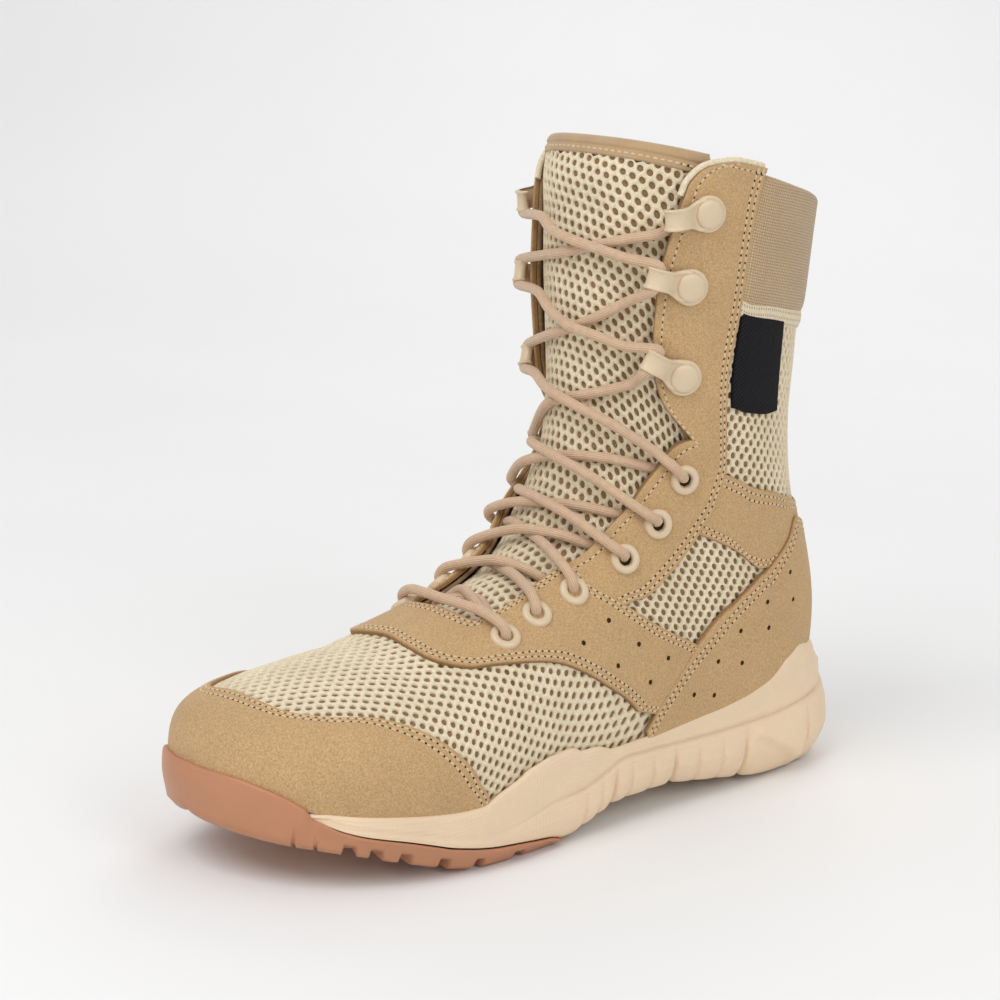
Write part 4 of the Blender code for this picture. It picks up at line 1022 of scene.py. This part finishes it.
def add_upper_lining(finish):
    columns = np.concatenate([np.linspace(0, 4.2, 36)[:-1], np.linspace(4.2, 14.06, 106)])
    edge = throat(columns)
    w = edge[:, None] + np.linspace(0, 1, 35) * (1 - edge[:, None])
    drop = np.interp(w, (0.49, 0.54, 0.8, 1), (0.02, 0.24, 0.3, 0.34))
    u = columns[:, None] - drop * smooth_step(columns[:, None], 13.2, 14.06)
    groups, faces = [], (-CLOTH_DEPTH - CLOTH_GAP, -LINING_DEPTH)
    row, column = 100, 20
    for side in (1, -1):
        points = np.concatenate([lifted(u, side * w, lift).reshape(-1, 3) for lift in faces])
        outward = skin_axes(u, side * w)[0][row, column]
        at = row * (w.shape[1] - 1) + column
        groups.append((points, facing_out(points, shell_quads(*w.shape), outward, at)))
    add_mesh("upper_lining", *joined(groups), finish, "lining", ("upper",))


TONGUE_LIFT, TONGUE_UNDER, TONGUE_ROUND = -4.0, -8.0, 1.5
# Swelling of the padding, and half its width in w
SWELL, SWELL_HALF = 1.1, 0.22
# Binding: height of its middle, rounding of its top; its seam's distance from below, height, half width in w
BINDING_LIFT, BINDING_ROUND = -6.2, 3.0
BINDING_SEWN, BINDING_SEAM_LIFT, BINDING_SEAM_HALF = 2.2, -3.5, 0.34
TONGUE_PRESSED = np.array([4.3, 4.75, 5.3, 6.15, 7.15, 8.15, 9.45, 10.8, 12.0, 13.4])


def swell(u, w):
    """How far the padded tongue stands out between the rows of lacing."""
    place = np.interp(u, TONGUE_PRESSED, np.arange(len(TONGUE_PRESSED)))
    return SWELL * np.abs(np.sin(math.pi * place)) * np.clip(1 - (np.abs(w) / SWELL_HALF) ** 2, 0, 1)


def add_tongue(finish, yarn, binding):
    share = np.linspace(-1, 1, 41)
    places = np.linspace(0, len(TONGUE) - 1, 150)
    table = curve(TONGUE, places)
    u = np.broadcast_to(table[:, :1], (len(table), len(share)))
    w = table[:, 1:] * share
    edge = np.sqrt(1 - np.abs(share) ** 8)
    top = TONGUE_LIFT - CLOTH_DEPTH - CLOTH_GAP + swell(u, w) - TONGUE_ROUND * (1 - edge)
    bottom = TONGUE_UNDER + TONGUE_ROUND * (1 - edge)
    add_shell("tongue_pad", u, w, top, bottom, finish, "mesh", ("tongue",))
    half = lambda v: np.interp(v, TONGUE[:, 0], TONGUE[:, 1]) - 0.012
    keep = lambda v, t: (np.abs(t) < half(v)) & (v > 3.9) & (v < 13.61)
    lift = lambda v, t: TONGUE_LIFT + swell(v, t)
    chart = skewed(lambda around, along: by_sections(around, along, 3.7, 13.75), TONGUE_TURN)
    add_cloth("tongue_mesh", chart, keep, (-110, 70, -15, 265), (4.4, 3.77), (3.1, 2.6), yarn, lift)
    table = curve(TONGUE_TOP, np.linspace(0, 2, 30))
    u = np.broadcast_to(table[:, :1], (30, len(share)))
    w = table[:, 1:] * share
    down = run_of(skin(table[:, 0], 0))
    shape = quarter(down[-1] - down, BINDING_ROUND)[:, None] * np.sqrt(1 - np.abs(share) ** 10)
    fold = 0.5 * np.exp(-((down - 3.6) / 0.5) ** 2)[:, None]
    rolled = np.clip(1 - down / 0.8, 0, 1)[:, None]
    top = BINDING_LIFT + 2.9 * shape - fold - 1.6 * rolled**2
    bottom = BINDING_LIFT - 2.6 * shape
    add_shell("binding_roll", u, w, top, bottom, binding, "suede", ("tongue_binding",))
    sewn = np.interp(BINDING_SEWN, down, table[:, 0])
    across = np.linspace(-BINDING_SEAM_HALF, BINDING_SEAM_HALF, 60)
    sew(np.array([np.full(60, sewn), across]), BINDING_SEAM_LIFT)


def edge_points(u, side, overhang, height):
    """Points of the sole: so far outside the foot edge at section u, at this height."""
    u, overhang, height = np.broadcast_arrays(u, overhang, height)
    row = foot_row(section(u))
    pick = slice(0, 2) if side > 0 else slice(2, 4)
    heading = foot_edge(row + 0.01)[..., pick] - foot_edge(np.maximum(row - 0.01, 0))[..., pick]
    out = side * unit(np.stack([heading[..., 1], -heading[..., 0]], -1))
    return np.concatenate([foot_edge(row)[..., pick] + out * overhang[..., None], height[..., None]], -1)


# Insole: how far inside the foot's edge, how far below it, thickness and hollow
INSOLE_INSET, INSOLE_DROP, INSOLE_THICK, INSOLE_HOLLOW = 3.6, 0.95, 3.8, 0.5


def add_insole(finish):
    u = np.concatenate([np.linspace(0.1, 1, 14)[:-1], np.linspace(1, 8, 60)[:-1], np.linspace(8, 8.93, 16)])
    base = foot_height(u) - INSOLE_DROP
    sides = [edge_points(u, side, -INSOLE_INSET, base) for side in (1, -1)]
    share = np.concatenate([[0, 0.01, 0.03], np.linspace(0.08, 0.92, 15), [0.97, 0.99, 1]])
    flat = sides[0][:, None] + share[:, None] * (sides[1] - sides[0])[:, None]
    side = 2 * share - 1
    rise = INSOLE_THICK * np.sqrt(1 - np.abs(side) ** 24) - INSOLE_HOLLOW * (1 - side**2)
    top = flat + rise[:, None] * np.array([0, 0, 1])
    points = np.concatenate([top.reshape(-1, 3), flat.reshape(-1, 3)])
    quads = facing_out(points, shell_quads(*flat.shape[:2]), np.array([0, 0, 1]), 400)
    add_mesh("insole_cloth", points, quads, finish, "lining", ("insole",))


# Sole

def table_at(table, u, blur):
    """Columns of a table whose first column is u, softened over this much of u.

    Past the toe and the heel the table goes on as its own mirror image.
    """
    steps = np.abs(u + np.linspace(-1, 1, 9)[:, None] * blur)
    steps = np.minimum(steps, 2 * HEEL_SECTION - steps)
    return [np.interp(steps, table[:, 0], column).mean(axis=0) for column in table[:, 1:].T]


def rounded(rows, count):
    """Points on a smooth curve through rows of points, count for each step: (stations, points, 3)."""
    stack = np.stack(rows)
    places = np.arange(0, len(rows) - 1 + 1e-6, 1 / count)
    return curve(stack.reshape(len(rows), -1), places).reshape(-1, *stack.shape[1:]).swapaxes(0, 1)


def add_loft(name, half, u, finish, slot, node):
    """A solid through sections at u; half(u, side) gives one side of each section, from the top down."""
    left, right = half(u, 1), half(u, -1)
    meet = (u == 0) | (u == HEEL_SECTION)
    left[meet] = right[meet] = (left[meet] + right[meet]) / 2
    if meet[-1]:
        back = np.concatenate([left[-9:], right[-2:-10:-1]])
        for _ in range(12):
            back[1:-1] = back[1:-1] / 2 + (back[:-2] + back[2:]) / 4
        left[-9:], right[-9:] = back[:9], back[:7:-1]
    ring = np.concatenate([left, right[:, ::-1]], axis=1)
    stations, count = ring.shape[:2]
    down = np.concatenate([run_of(left), run_of(right)[:, ::-1]], 1)
    along = run_of(ring[:, count // 4])
    uv = np.stack([np.broadcast_to(along[:, None], down.shape), down], -1).reshape(-1, 2)
    points = ring.reshape(-1, 3)
    quads = grid_quads(stations, count, ring=True)
    if not meet[-1]:
        i = np.arange(count // 2 - 1)
        end = (stations - 1) * count + np.stack([i, i + 1, count - 2 - i, count - 1 - i], 1)
        quads = np.concatenate([quads, end])
    first, shared = merged(points, 40)
    quads = shared[quads]
    middle = (stations // 2) * count + count // 4
    quads = facing_out(points[first], quads, np.array([1.0, 0, 0]), middle)
    add_mesh(name, points[first], quads, finish, slot, (node,), uv[first])


# The slanting edge of the heel's side: u, how far down the lower band it lies
FACET = np.array([(7.1, 7.35, 7.62, 7.88), (0.08, 0.33, 0.64, 0.95)])
FACET_RISE = 1.6
# How far the sole tucks in under the foot, and how far the foam stays below the foot's edge
TUCK, UNDER_FOOT = -9.0, 3.5
# Gum: gap to the foam, lug's edge and depth, how far a notch cuts in
GUM_GAP, LUG_EDGE, LUG_DEPTH, NOTCH_IN = 1.3, 2.4, 3.6, 1.5
# How full the lower band is down its height: share of the height, share of the belly's overhang
SIDE_FORM = (0, 0.2, 0.35, 0.5, 0.65, 0.8, 1), (0.35, 0.8, 0.94, 1, 0.83, 0.55, 0)


def midsole_half(u, side):
    rim_u, rim_w, rim = table_at(SOLE_RIM, u, 0.06)
    crease_z, crease, belly, bottom_z, bottom, middle_z = table_at(SOLE_SIDE, u, 0.1)
    away = [(np.abs(u - at), depth) for at, depth in SIDE_GROOVES]
    dip = lambda d: 0.85 * np.exp(-(d / 0.018) ** 2) + 0.5 * np.exp(-(d / 0.075) ** 2)
    groove = np.max([depth * dip(d) for d, depth in away], axis=0)
    cut = np.max([(depth > 2) * np.exp(-(d / 0.03) ** 2) for d, depth in away], axis=0)
    seam = smooth_step(u, 3.9, 5.2)
    bottom_z = bottom_z + 1.6 * cut
    under_z = np.minimum(bottom_z, foot_height(u) - UNDER_FOOT)
    edge = lambda overhang, height: edge_points(u, side, overhang, height)
    band = crease_z - 1.8
    tall = band - bottom_z
    ridge = np.interp(u, FACET[0], FACET[1])
    rise = FACET_RISE * smooth_step(u, 7.1, 7.25) * (1 - smooth_step(u, 7.84, 7.9))

    def side_row(share):
        inner = crease if share < 0.5 else bottom
        full = inner + np.interp(share, *SIDE_FORM) * (belly - inner)
        above, below = 1 - (ridge - share) / 0.45, 1 - (share - ridge) / 0.1
        facet = np.where(share < ridge, np.maximum(above, 0), np.maximum(below, -0.5))
        return edge(full - min(1, 2 * share) * groove + rise * facet, band - share * tall)

    closing = smooth_step(u, 8.86, HEEL_SECTION)
    inside = lambda more: (1 - closing) * np.maximum(1 - rim_w - more, 0)
    at_rim = lambda more, lift: lifted(rim_u, side * (1 - inside(more)), lift)
    heel = smooth_step(u, 7.6, 8.6)
    rim = rim + 0.8 * heel
    outward = edge(crease + 1, crease_z) - edge(crease, crease_z)
    rows = [
        lifted(u, side, 1.0),
        at_rim(0.06, 0.5),
        at_rim(0.01, 0.6),
        at_rim(-0.004, 0.6 * rim),
        at_rim(0.016, rim),
        (at_rim(0.016, rim) + edge(crease, crease_z)) / 2 + 2.6 * heel[:, None] * outward,
        edge(crease + 0.1, crease_z + 0.5),
        edge(crease - 0.9 * seam, crease_z - 0.7),
        edge(crease + 0.35 * (belly - crease), band),
        *[side_row(share) for share in np.linspace(0.1, 0.8, 8)],
        edge(bottom - groove, bottom_z + 0.6),
        edge(bottom - 1.8 - groove, bottom_z),
        edge(0.4 * bottom, under_z),
        edge(TUCK, middle_z),
    ]
    return rounded(rows, 2)


def outsole_half(u, side):
    bumper_w, edge_over, edge_z, tread = table_at(TREAD, u, 0.08)
    _, _, _, bottom_z, bottom, middle_z = table_at(SOLE_SIDE, u, 0.05)
    under_z = np.minimum(bottom_z, foot_height(u) - UNDER_FOOT)
    edge = lambda overhang, height: edge_points(u, side, overhang, height)
    cream = smooth_step(u, 1.40, 1.66)[:, None]
    near = np.min(np.abs(u[:, None] - LUG_NOTCHES), axis=1)
    slit = np.min(np.abs(u[:, None] - SMALL_NOTCHES), axis=1)
    notch = np.maximum(1 - smooth_step(near, 0.05, 0.085), 0.45 * (1 - smooth_step(slit, 0.01, 0.025)))
    depth = np.minimum(LUG_DEPTH, middle_z - GUM_GAP - LUG_EDGE - tread)
    lug = tread + notch * depth
    skin_at = lambda w, lift: lifted(u, side * w, lift)
    mix = lambda a, b: a + cream * (b - a)
    top = mix(skin_at(bumper_w + 0.012, 3.5), edge(bottom + 0.8, bottom_z - 0.7))
    plain = edge(edge_over, edge_z)
    outer = edge(edge_over - notch * NOTCH_IN, edge_z + notch * depth)
    rows = [
        edge(TUCK, middle_z - GUM_GAP),
        mix(skin_at(bumper_w + 0.03, 0.3), edge(0.4 * bottom, under_z - GUM_GAP)),
        mix(skin_at(bumper_w + 0.004, 0.8), edge(bottom - 0.4, bottom_z - 0.1)),
        mix(skin_at(bumper_w - 0.004, 2.0), edge(bottom + 0.4, bottom_z - 0.25)),
        top,
        top + 0.45 * (plain - top) + 0.9 * (1 - cream) * (plain - edge(edge_over - 1, edge_z)),
        outer,
        edge(edge_over - LUG_EDGE - notch * NOTCH_IN, lug + 0.4 * np.maximum(edge_z - tread - LUG_EDGE, 0)),
        edge(edge_over - 14.0, lug),
        edge(edge_over - 15.0, lug),
        edge(edge_over - 16.5, tread + depth),
        edge(np.minimum(edge_over - 22.0, -20.0), tread + depth),
    ]
    return np.concatenate([rounded(rows[:7], 4), np.stack(rows[7:], 1)], 1)


def stations(last, count, places, reach, steps):
    """Sections from the toe to the last one, with more of them near these places."""
    near = (places[:, None] + np.linspace(-reach, reach, steps)).ravel()
    return np.unique(np.concatenate([np.linspace(0, last, count), near]).round(4))


def add_soles(foam, gum):
    along = stations(HEEL_SECTION, 361, SIDE_GROOVES[:, 0], 0.06, 13)
    add_loft("midsole_foam", midsole_half, along, foam, "foam", "midsole")
    along = stations(FOREFOOT_END, 300, SMALL_NOTCHES, 0.03, 9)
    add_loft("forefoot_gum", outsole_half, along, gum, "gum", "outsole_forefoot")
    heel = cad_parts["outsole_heel"]
    heel.data.materials.clear()
    heel.data.materials.append(gum)


# Lacing

def hardware_frame(u, w, turn=0.0):
    """Origin and axes of a fitting in table millimetres: X to the throat, Z outwards."""
    outward, around = skin_axes(np.float64(u), np.float64(w))
    x = -math.copysign(1, w) * around
    y = np.cross(outward, x)
    y /= np.linalg.norm(y)
    x = np.cross(y, outward)
    x, y = math.cos(turn) * x + math.sin(turn) * y, math.cos(turn) * y - math.sin(turn) * x
    return lifted(u, w, FITTING_LIFT), np.array([x, y, outward])


def turned(profile, steps):
    """Points and faces turned about Z from a profile of (radius, height)."""
    turn = circle(steps)
    points = np.array([(r * math.cos(a), r * math.sin(a), z) for r, z in profile for a in turn])
    return points, grid_quads(len(profile), steps, ring=True)


EYELET_PROFILE = [
    (2.5, -3.0), (2.5, -0.6), (2.6, 0.1), (2.9, 0.62), (3.4, 0.92), (4.1, 1.0), (4.9, 0.85), (5.45, 0.45),
    (5.7, -0.2), (5.75, -1.4),
]
PLATE_PROFILE = [(6.7, -1.4), (6.85, -0.4), (6.85, 0.45), (6.65, 0.75), (6.3, 0.9), (5.5, 0.92), (0.02, 0.95)]
RIVET_PROFILE = [(5.4, 0.5), (5.45, 1.2), (5.3, 1.7), (4.85, 2.05), (3.8, 2.3), (2.0, 2.42), (0.02, 2.45)]
# Prong of a hook: towards the throat, height, half width
HOOK_PRONG = np.array([
    (1.0, 0.45, 6.2), (4.0, 0.45, 5.9), (6.4, 0.6, 4.9), (8.2, 1.5, 4.25), (10.5, 2.9, 4.05),
    (13.5, 3.5, 4.05), (16.0, 3.0, 4.05), (17.3, 1.6, 4.05), (17.4, 0.0, 3.95), (16.7, -0.9, 3.85),
    (15.9, -1.0, 3.8),
])
PRONG_WIDE = np.array([-1, -0.97, -0.9, -0.8, -0.7, -0.6, 0, 0.6, 0.7, 0.8, 0.9, 0.97, 1])
PRONG_ROLL = np.array([-0.25, 0.25, 0.55, 0.5, 0.15, -0.05, -0.1, -0.05, 0.15, 0.5, 0.55, 0.25, -0.25])
PRONG_HALF = 0.5
# Height and radius of the dark round of painted shade in each eyelet
EYELET_HOLE = 1.7, 2.6


def hook_shape():
    spine = curve(HOOK_PRONG, np.linspace(0, len(HOOK_PRONG) - 1, 56))
    slope = unit(np.gradient(spine[:, :2], axis=0))
    lean = np.stack([-slope[:, 1], np.zeros(len(slope)), slope[:, 0]], -1)
    middle = np.stack([spine[:, 0], np.zeros(len(spine)), spine[:, 1]], -1)
    wide = middle[:, None] + spine[:, None, 2:] * PRONG_WIDE[:, None] * np.array([0, 1, 0])
    top = wide + lean[:, None] * (PRONG_HALF + PRONG_ROLL)[:, None]
    bottom = wide + lean[:, None] * np.minimum(PRONG_ROLL - PRONG_HALF, -0.2)[:, None]
    points = np.concatenate([top.reshape(-1, 3), bottom.reshape(-1, 3)])
    quads = facing_out(points, shell_quads(len(spine), len(PRONG_WIDE)), np.array([0, 0, 1]), 45)
    turned_parts = [turned(profile, 40) for profile in (PLATE_PROFILE, RIVET_PROFILE)]
    return joined([(points, quads)] + turned_parts)


def add_fitting(name, mesh, origin, axes, node):
    piece = add_piece(name, mesh, (node,))
    place = Matrix(axes.T.tolist()).to_4x4()
    place.translation = Vector((origin - MIDDLE) * MM)
    piece.matrix_world = place


def add_fittings(paint):
    ring = add_mesh("eyelet_ring", *turned(EYELET_PROFILE, 40), paint, "painted_metal", bare=True)
    hook = add_mesh("hook_shape", *hook_shape(), paint, "painted_metal", bare=True)
    for mesh in (ring, hook):
        mesh.transform(Matrix.Translation(Vector(MIDDLE * MM)))
    for side, word, hooks in ((1, "lateral", HOOKS), (-1, "medial", MEDIAL_HOOKS)):
        for number, (u, w) in enumerate(EYELETS, 1):
            place = hardware_frame(u, side * w)
            add_fitting(f"ring_{word}_{number}", ring, *place, f"eyelet_{word}_{number}")
        punch(EYELETS, side, *EYELET_HOLE)
        for number, (u, w) in enumerate(hooks, 1):
            place = hardware_frame(u, side * w, side * HOOK_TURNS[number - 1])
            add_fitting(f"speed_hook_{word}_{number}", hook, *place, f"hook_{word}_{number}")


LACE_SIDES, LACE_STEP = 16, 1.1
PIPING_RADIUS, PIPING_SIDES, PIPING_STEP, PIPING_LIFT = 1.25, 10, 0.9, -0.2
# How much lower in u than a straight run each strand from eyelet to eyelet lies half way
STRAND_SAG = [0.0, 0.0, 0.1, 0.47, 0.59]


def strand(number, side, over):
    """Points of a strand from an eyelet, over the edge and tongue, under the far edge to the next eyelet."""
    (u, w), (far_u, far_w) = EYELETS[number], EYELETS[number + 1]
    reach = w + far_w

    def along(at):
        straight = u + (far_u - u) * (w - at) / reach
        return straight - 4 * STRAND_SAG[number] * (w - at) * (at + far_w) / reach**2

    edge, far_edge = throat(u), throat(far_u)
    run = [
        (w - 0.035, 5.2), (edge, 4.0), (0.5 * edge, 2.6 if over else 1.2), (0, 2.3 if over else -1.6),
        (-0.5 * far_edge, -0.4 if over else -1.9), (-far_edge, -3.6), (-far_w + 0.03, -5.0),
    ]
    rows = [(u, w - 0.004, 0.4), (u + 0.01, w - 0.01, 4.0)] + [(along(at), at, lift) for at, lift in run]
    return lifted_rows(rows + [(far_u, -far_w, -3.2)], side)


def round_hook(number, side, last):
    """Points of a lace round the neck of a hook, from below to above, or its hidden end at a top hook."""
    if last and side > 0:
        return lifted_rows(TUCKED_END)
    u, w = (HOOKS if side > 0 else MEDIAL_HOOKS)[number]
    origin, axes = hardware_frame(u, side * w, side * HOOK_TURNS[number])
    local = [(15.4, 5.0, 1.3), (13.7, 2.5, 1.15), (13.1, 0, 1.1)]
    if not last:
        local += [(x, -y, z) for x, y, z in local[-2::-1]]
    return [origin + np.array([x, side * y, z]) @ axes for x, y, z in local]


# Strands up to each pair of hooks, over the other or under it: u, w on the side that they leave
STRANDS_OVER = np.array([
    [(8.84, 0.265), (8.74, 0.155), (8.74, 0.060), (8.94, -0.035), (9.34, -0.145)],
    [(10.16, 0.180), (10.08, 0.100), (10.10, 0.020), (10.30, -0.035), (10.64, -0.120)],
    [(11.46, 0.175), (11.44, 0.120), (11.50, 0.010), (11.62, -0.040), (11.84, -0.100)],
])
STRANDS_UNDER = np.array([
    [(8.62, 0.070), (8.78, 0.000), (9.00, -0.070), (9.32, -0.145), (9.66, -0.205)],
    [(9.88, 0.070), (10.00, 0.000), (10.22, -0.060), (10.46, -0.115), (10.78, -0.175)],
    [(11.22, 0.030), (11.32, -0.020), (11.46, -0.080), (11.70, -0.160), (12.00, -0.245)],
])
LIFTS_OVER, LIFTS_UNDER = np.array([(1.8, 2.5, 2.8, 2.2, 0.8), (-0.6, -1.3, -1.2, -0.7, 0.0)])
TUCKED_END = [(12.18, 0.285, -2.2), (12.32, 0.33, -4.9)]


def over_tongue(number, side, over):
    """Points of a strand on its way over the tongue."""
    u, w = (STRANDS_OVER if over else STRANDS_UNDER)[number].T
    return list(lifted(u, side * w, LIFTS_OVER if over else LIFTS_UNDER))


def lace_path(side):
    """One half of the lace, from the middle of the lowest bar to its hidden end by a top hook."""
    (u, w), (next_u, next_w) = EYELETS[0], EYELETS[1]
    bar = [(u - 0.16, 0, 4.6), (u - 0.12, 0.06, 4.6), (u - 0.06, 0.12, 5.6), (u - 0.01, w - 0.02, 5.6),
           (u, w - 0.002, 3.6), (u + 0.01, w, 0.0), (u + 0.05, w - 0.03, -4.4), (u + 0.16, 0.085, -3.4)]
    under = [(u + 0.26, 0.02, -2.4 + 2.4 * (side < 0)), (u + 0.12, -0.06, -2.4 + 1.4 * (side < 0)),
             (u + 0.16, -0.11, -4.2), (next_u, -next_w + 0.02, -4.6)]
    path = lifted_rows(bar + under, side)
    for number in range(1, 5):
        side = -side
        path += strand(number, side, over=(side > 0) == (number > 2))
    side = -side
    u, w = EYELETS[5]
    out = [(u, w - 0.004, 0.4), (u + 0.01, w - 0.01, 4.0), (u + 0.02, w - 0.04, 5.0), (u, throat(u), 3.9)]
    path += lifted_rows(out, side)
    for number in range(3):
        path += over_tongue(number, side, side > 0)
        side = -side
        path += round_hook(number, side, number == 2)
    return np.array(path)


def tube(path, radius, sides, step):
    """A round tube along a smooth curve through points: points, faces and UV in millimetres."""
    fine = curve(path, np.linspace(0, len(path) - 1, 30 * len(path)))
    run = run_of(fine)
    at = np.linspace(0, run[-1], int(run[-1] / step))
    line = np.stack([np.interp(at, run, column) for column in fine.T], -1)
    heading = unit(np.gradient(line, axis=0))
    across = np.cross(heading[0], (0.3, 0.2, 1.0))
    turn = circle(sides)
    rings = []
    for point, ahead in zip(line, heading):
        across = across - ahead * np.dot(across, ahead)
        across /= np.linalg.norm(across)
        beside = np.cross(ahead, across)
        rings.append(point + radius * (np.cos(turn)[:, None] * across + np.sin(turn)[:, None] * beside))
    uv = np.stack([np.repeat(at, sides), np.tile(turn * radius, len(at))], -1)
    return np.concatenate(rings), grid_quads(len(at), sides, ring=True), uv, run[-1]


def add_lace(finish):
    path = np.vstack([lace_path(-1)[:0:-1], lace_path(1)])
    points, quads, uv, length = tube(path, LACE_RADIUS, LACE_SIDES, LACE_STEP)
    nodes = ["lace_bar"] + [f"lace_cross_{number}" for number in range(1, 9)]
    quads = facing_out(points, quads, points[0] - points[:LACE_SIDES].mean(0), 0)
    add_mesh("lace", points, quads, finish, "lace", nodes, uv, around=LACE_ROUND)
    print("lace length, mm:", round(length))


def add_piping(finish):
    """The lining's rolled edge along the top of each facing."""
    for side, word in ((1, "lateral"), (-1, "medial")):
        rows = np.array([row for row in THROAT if row[0] > 12.5] + [(14.09, 0.47), (14.10, 0.508)])
        path = lifted(rows[:, 0] + 0.02, side * (rows[:, 1] - 0.008), PIPING_LIFT)
        points, quads, uv, _ = tube(path, PIPING_RADIUS, PIPING_SIDES, PIPING_STEP)
        quads = facing_out(points, quads, points[0] - points[:PIPING_SIDES].mean(0), 0)
        around = math.tau * PIPING_RADIUS
        add_mesh(f"facing_piping_{word}", points, quads, finish, "nylon", (), uv, around=around)


# Holes punched through the suede, drawn as dark domes of painted shade: u, w
WING_HOLES = [(5.92, 0.320), (6.22, 0.405), (6.56, 0.470), (5.40, 0.315), (5.80, 0.405), (6.20, 0.475)]
COUNTER_HOLES = [
    (9.54, 0.624), (8.46, 0.560), (7.70, 0.548), (7.18, 0.564), (6.70, 0.600), (9.26, 0.644), (8.16, 0.596),
    (7.46, 0.616), (6.94, 0.652),
]


WING_HOLE_LIFT, COUNTER_HOLE_LIFT, HOLE_RADIUS = 2.0, 2.6, 1.05

# Lights: name, place in metres, size, power
LIGHTS = [
    ("key", (0.2, -1.3, 1.7), 1.2, 16.0),
    ("side", (1.7, -0.2, 1.1), 1.0, 7.0),
    ("back", (-0.9, 1.3, 1.3), 1.0, 6.0),
]
CAMERA_PLACE = (0.69027, -0.63572, 0.3126)
CAMERA_YAW, CAMERA_PITCH, CAMERA_ROLL = 50.68, 11.58, 1.09
# Focal length in the photo's pixels, and how far right of and above its middle the boot's middle lies
PHOTO_FOCAL = 2542
AIM = (108, -13)
PHOTO_SIDE = 1000
SENSOR = 36
# Floor and its rise to a wall behind the boot, in metres
FLOOR_HALF, WALL_START, WALL_ROUND, WALL_TOP = 5.0, 1.2, 0.8, 4.0
WORLD_STRENGTH = 0.62
LIGHTS_AIM = (0, 0, 0.1)


def add_stage(finish):
    scene = bpy.context.scene
    scene.view_settings.view_transform = "Standard"
    world = bpy.data.worlds.new("studio")
    world.use_nodes = True
    sky = world.node_tree.nodes["Background"].inputs
    sky["Color"].default_value, sky["Strength"].default_value = (1.0, 1.0, 1.0, 1), WORLD_STRENGTH
    scene.world = world
    turn = np.linspace(0, math.pi / 2, 12)
    wall = WALL_START + WALL_ROUND
    depth = np.concatenate([[-4.0, -1.0, 0.0, 0.6], WALL_START + WALL_ROUND * np.sin(turn), [wall]])
    height = np.concatenate([[0, 0, 0, 0], WALL_ROUND - WALL_ROUND * np.cos(turn), [WALL_TOP]])
    yaw = math.radians(CAMERA_YAW)
    back, side = np.array([-math.sin(yaw), math.cos(yaw)]), np.array([math.cos(yaw), math.sin(yaw)])
    ends = -FLOOR_HALF, FLOOR_HALF
    points = np.array([(*(back * d + side * s), z) for d, z in zip(depth, height) for s in ends])
    mesh = add_mesh("floor", points / MM + MIDDLE, grid_quads(len(depth), 2), finish, "", bare=True)
    floor = bpy.data.objects.new("floor", mesh)
    scene.collection.objects.link(floor)
    for name, place, size, power in LIGHTS:
        lamp = bpy.data.lights.new(name, "AREA")
        lamp.size, lamp.energy = size, power
        light = bpy.data.objects.new(name, lamp)
        light.location = place
        light.rotation_euler = (Vector(LIGHTS_AIM) - Vector(place)).to_track_quat("-Z", "Y").to_euler()
        scene.collection.objects.link(light)


def add_camera():
    yaw, pitch, roll = (math.radians(angle) for angle in (CAMERA_YAW, CAMERA_PITCH, CAMERA_ROLL))
    back = Vector((math.sin(yaw) * math.cos(pitch), -math.cos(yaw) * math.cos(pitch), math.sin(pitch)))
    right = Vector((math.cos(yaw), math.sin(yaw), 0))
    up = back.cross(right)
    right, up = right * math.cos(roll) + up * math.sin(roll), up * math.cos(roll) - right * math.sin(roll)
    turn = (-back).rotation_difference(right * AIM[0] + up * AIM[1] - back * PHOTO_FOCAL)
    right, up, back = (turn @ axis for axis in (right, up, back))
    lens = bpy.data.cameras.new("camera")
    lens.lens, lens.sensor_width, lens.clip_end = PHOTO_FOCAL / PHOTO_SIDE * SENSOR, SENSOR, 50
    camera = bpy.data.objects.new("camera", lens)
    place = Matrix((right, up, back)).transposed().to_4x4()
    place.translation = CAMERA_PLACE
    camera.matrix_world = place
    bpy.context.scene.collection.objects.link(camera)
    bpy.context.scene.camera = camera


def main():
    finishes = make_finishes()
    yarn, lining = finishes["yarn"], finishes["lining"]
    add_camera()
    add_stage(finishes["floor"])
    add_upper_lining(lining)
    add_panels(finishes)
    add_piping(yarn)
    add_cloths(yarn)
    add_tongue(lining, yarn, finishes["binding"])
    add_insole(lining)
    add_soles(finishes["foam"], finishes["gum"])
    add_fittings(finishes["paint"])
    add_lace(finishes["lace"])
    for side in (1, -1):
        punch(WING_HOLES, side, WING_HOLE_LIFT, HOLE_RADIUS)
        punch(COUNTER_HOLES, side, COUNTER_HOLE_LIFT, HOLE_RADIUS)
    add_mesh("seam_stitches", *joined(stitches), finishes["thread"], "suede")
    # Painted shade in the needle holes, punched holes and eyelets
    add_mesh("painted_hole_shade", *joined(painted_hole_shade), finishes["hole"], "lining")


main()
